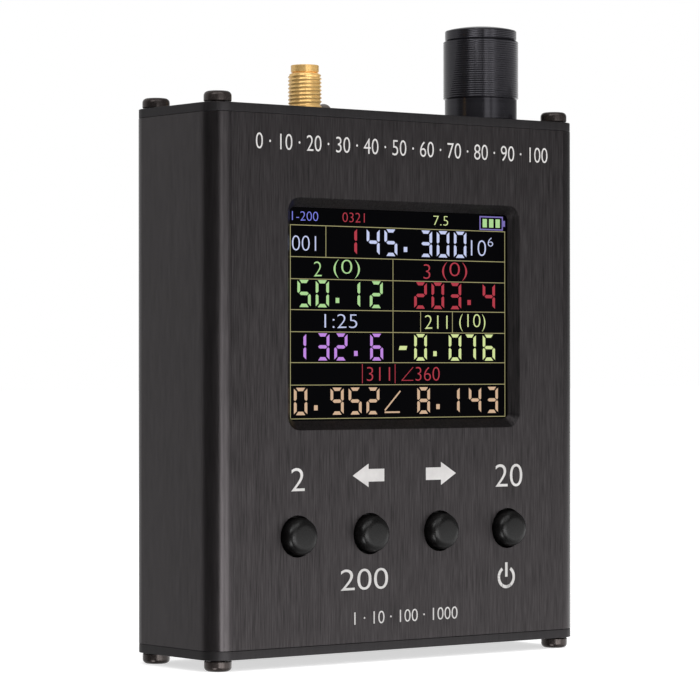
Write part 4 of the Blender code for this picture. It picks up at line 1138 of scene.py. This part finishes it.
def print_power(bm, back):
    """The common mark for on and standby: a ring open at the top, and a bar in the opening."""
    x, z = POWER_PLACE
    steps = SMALL_STEPS
    turn = 2 * math.pi - 2 * POWER_OPENING
    angles = [math.pi / 2 + POWER_OPENING + turn * i / steps for i in range(steps + 1)]
    for first, second in zip(angles, angles[1:]):
        corners = [(POWER_RADIUS, first), (POWER_RADIUS, second), (POWER_INNER, second), (POWER_INNER, first)]
        prism(bm, [(x + r * math.cos(a), z + r * math.sin(a)) for r, a in corners], back, PRINT_THICKNESS)
    half = (POWER_RADIUS - POWER_INNER) / 2
    prism(bm, rectangle(x - half, x + half, z + POWER_BAR_LOW, z + POWER_BAR_HIGH), back, PRINT_THICKNESS)


def front_print():
    """All the print on the front of the case."""
    printed("front_numbers", print_numbers)
    printed("front_arrows", print_arrows)
    printed("front_power_mark", print_power)


def dress_nodes():
    """Gives every CAD node the finish that its slot names."""
    for cad_node in frame["nodes"].values():
        for material_slot in cad_node.material_slots:
            slot_name = material_slot.material.name.split(".")[0]
            material_slot.material = FINISHES[slot_name]


def camera():
    """The photograph's camera."""
    yaw, pitch, roll = CAMERA_YAW, CAMERA_PITCH, CAMERA_ROLL
    ahead = Vector((math.sin(yaw) * math.cos(pitch), math.cos(yaw) * math.cos(pitch), math.sin(pitch)))
    level = Vector((math.cos(yaw), -math.sin(yaw), 0.0))
    upright = level.cross(ahead)
    right = level * math.cos(roll) + upright * math.sin(roll)
    up = upright * math.cos(roll) - level * math.sin(roll)
    data = bpy.data.cameras.new("camera")
    data.sensor_width = SENSOR_WIDTH
    data.lens = FOCAL_PIXELS * SENSOR_WIDTH / IMAGE_SIDE
    made = bpy.data.objects.new("camera", data)
    bpy.context.scene.collection.objects.link(made)
    turn = Matrix((right, up, -ahead)).transposed().to_4x4()
    made.matrix_world = Matrix.Translation(CAMERA_PLACE) @ turn
    bpy.context.scene.camera = made


def seen(tree):
    """1 for rays that show the background itself: camera, glossy and transmitted ones."""
    path = node(tree, "LightPath").outputs
    first = math_node(tree, "MAXIMUM", path["Is Camera Ray"], path["Is Glossy Ray"])
    return math_node(tree, "MAXIMUM", first, path["Is Transmission Ray"])


def levels(tree, factor, stops, low, high):
    """A level read off a list of stops (value, level), for values from low to high."""
    made = node(tree, "ValToRGB", {"Fac": spread(tree, factor, 0.0, 1.0, low, high)})
    elements = made.color_ramp.elements
    while len(elements) < len(stops):
        elements.new(0.5)
    for element, (value, level) in zip(elements, stops):
        element.position = (value - low) / (high - low)
        element.color = (level / LEVEL_SCALE,) * 3 + (1.0,)
    return math_node(tree, "MULTIPLY", made.outputs["Color"], LEVEL_SCALE)


def aim(turn, elevation):
    """A direction given by its turn from -Y towards +X and its elevation, in degrees."""
    a, e = math.radians(turn), math.radians(elevation)
    return Vector((math.sin(a) * math.cos(e), -math.cos(a) * math.cos(e), math.sin(e)))


def spot_level(tree, direction, turn, elevation, radius, level):
    """A round softbox, as gloss shows it."""
    nearness = node(tree, "VectorMath", operation="DOT_PRODUCT")
    feed(tree, nearness.inputs[0], direction)
    feed(tree, nearness.inputs[1], aim(turn, elevation))
    outer, inner = (math.cos(math.radians(radius + side * SPOT_EDGE)) for side in (1, -1))
    return spread(tree, nearness.outputs["Value"], 0.0, level, outer, inner)


def world():
    """A white surround for the camera, the studio's levels for gloss, and an even light for the rest."""
    made = bpy.data.worlds.new("studio")
    made.use_nodes = True
    tree = made.node_tree
    background = tree.nodes["Background"]
    background.inputs["Color"].default_value = WHITE
    path = node(tree, "LightPath").outputs
    direction = node(tree, "TexCoord").outputs["Generated"]
    split = node(tree, "SeparateXYZ", {"Vector": direction}).outputs
    turn = math_node(tree, "ARCTAN2", split["X"], math_node(tree, "MULTIPLY", split["Y"], -1.0))
    degrees = math_node(tree, "MULTIPLY", turn, math.degrees(1.0))
    shade = levels(tree, degrees, STUDIO_EVEN, -180.0, 180.0)
    for round_stops, height_stops in STUDIO_SETS:
        product = math_node(
            tree, "MULTIPLY",
            levels(tree, degrees, round_stops, -180.0, 180.0),
            levels(tree, split["Z"], height_stops, -1.0, 1.0),
        )
        shade = math_node(tree, "ADD", shade, product)
    for spot in STUDIO_SPOTS:
        shade = math_node(tree, "ADD", shade, spot_level(tree, direction, *spot))
    glossy = math_node(tree, "MULTIPLY", path["Is Glossy Ray"], shade)
    clear = math_node(tree, "MAXIMUM", path["Is Camera Ray"], path["Is Transmission Ray"])
    shown = math_node(tree, "MAXIMUM", glossy, clear)
    plain = math_node(tree, "MULTIPLY", math_node(tree, "SUBTRACT", 1.0, seen(tree)), WORLD_LIGHT)
    feed(tree, background.inputs["Strength"], math_node(tree, "ADD", shown, plain))
    bpy.context.scene.world = made


def softbox(name, place, target, width, height, power):
    """An area lamp that faces its target and isn't seen itself."""
    data = bpy.data.lights.new(name, "AREA")
    data.shape = "RECTANGLE"
    data.size, data.size_y = width, height
    data.energy = power
    lamp_object = bpy.data.objects.new(name, data)
    bpy.context.scene.collection.objects.link(lamp_object)
    lamp_object.location = place
    lamp_object.rotation_mode = "QUATERNION"
    lamp_object.rotation_quaternion = (Vector(target) - Vector(place)).to_track_quat("-Z", "Y")
    lamp_object.visible_camera = False
    lamp_object.visible_glossy = False


def lights():
    """The softboxes, all aimed at the middle of the case."""
    for name, azimuth, elevation, distance, width, height, power in SOFTBOXES:
        place = Vector(LIGHT_TARGET) + distance * aim(azimuth, elevation)
        softbox(name, place, LIGHT_TARGET, width, height, power)


def floor():
    """A pale floor that keeps the object's shadow and reads as white where nothing shades it."""
    bm = bmesh.new()
    half = FLOOR_HALF
    bm.faces.new([bm.verts.new((x, y, 0.0)) for x, y in rectangle(-half, half, -half, half)])
    mesh = bpy.data.meshes.new("floor")
    bm.to_mesh(mesh)
    bm.free()
    material = bpy.data.materials.new("finish_floor")
    material.use_nodes = True
    tree = material.node_tree
    tree.nodes.remove(tree.nodes["Principled BSDF"])
    matt = node(tree, "BsdfDiffuse", {"Color": FLOOR_COLOUR})
    glow = node(tree, "Emission", {"Color": WHITE})
    feed(tree, glow.inputs["Strength"], math_node(tree, "MULTIPLY", seen(tree), FLOOR_GLOW))
    both = node(tree, "AddShader")
    feed(tree, both.inputs[0], matt.outputs["BSDF"])
    feed(tree, both.inputs[1], glow.outputs["Emission"])
    feed(tree, tree.nodes["Material Output"].inputs["Surface"], both.outputs["Shader"])
    mesh.materials.append(material)
    made = bpy.data.objects.new("floor", mesh)
    made.visible_glossy = False
    bpy.context.scene.collection.objects.link(made)


LIT_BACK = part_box("display_panel")[0].y - LIT_GAP - LIT_THICKNESS
FINISHES = finishes()
bpy.context.scene.view_settings.view_transform = "Standard"
camera()
world()
lights()
floor()
dress_nodes()
case_and_plates()
knob()
jack()
for end in ("top", "bottom"):
    for corner in range(1, 5):
        screw(f"{end}_screw_{corner}")
for place_number in range(1, 5):
    button(place_number)
lamp()
display_content()
front_print()
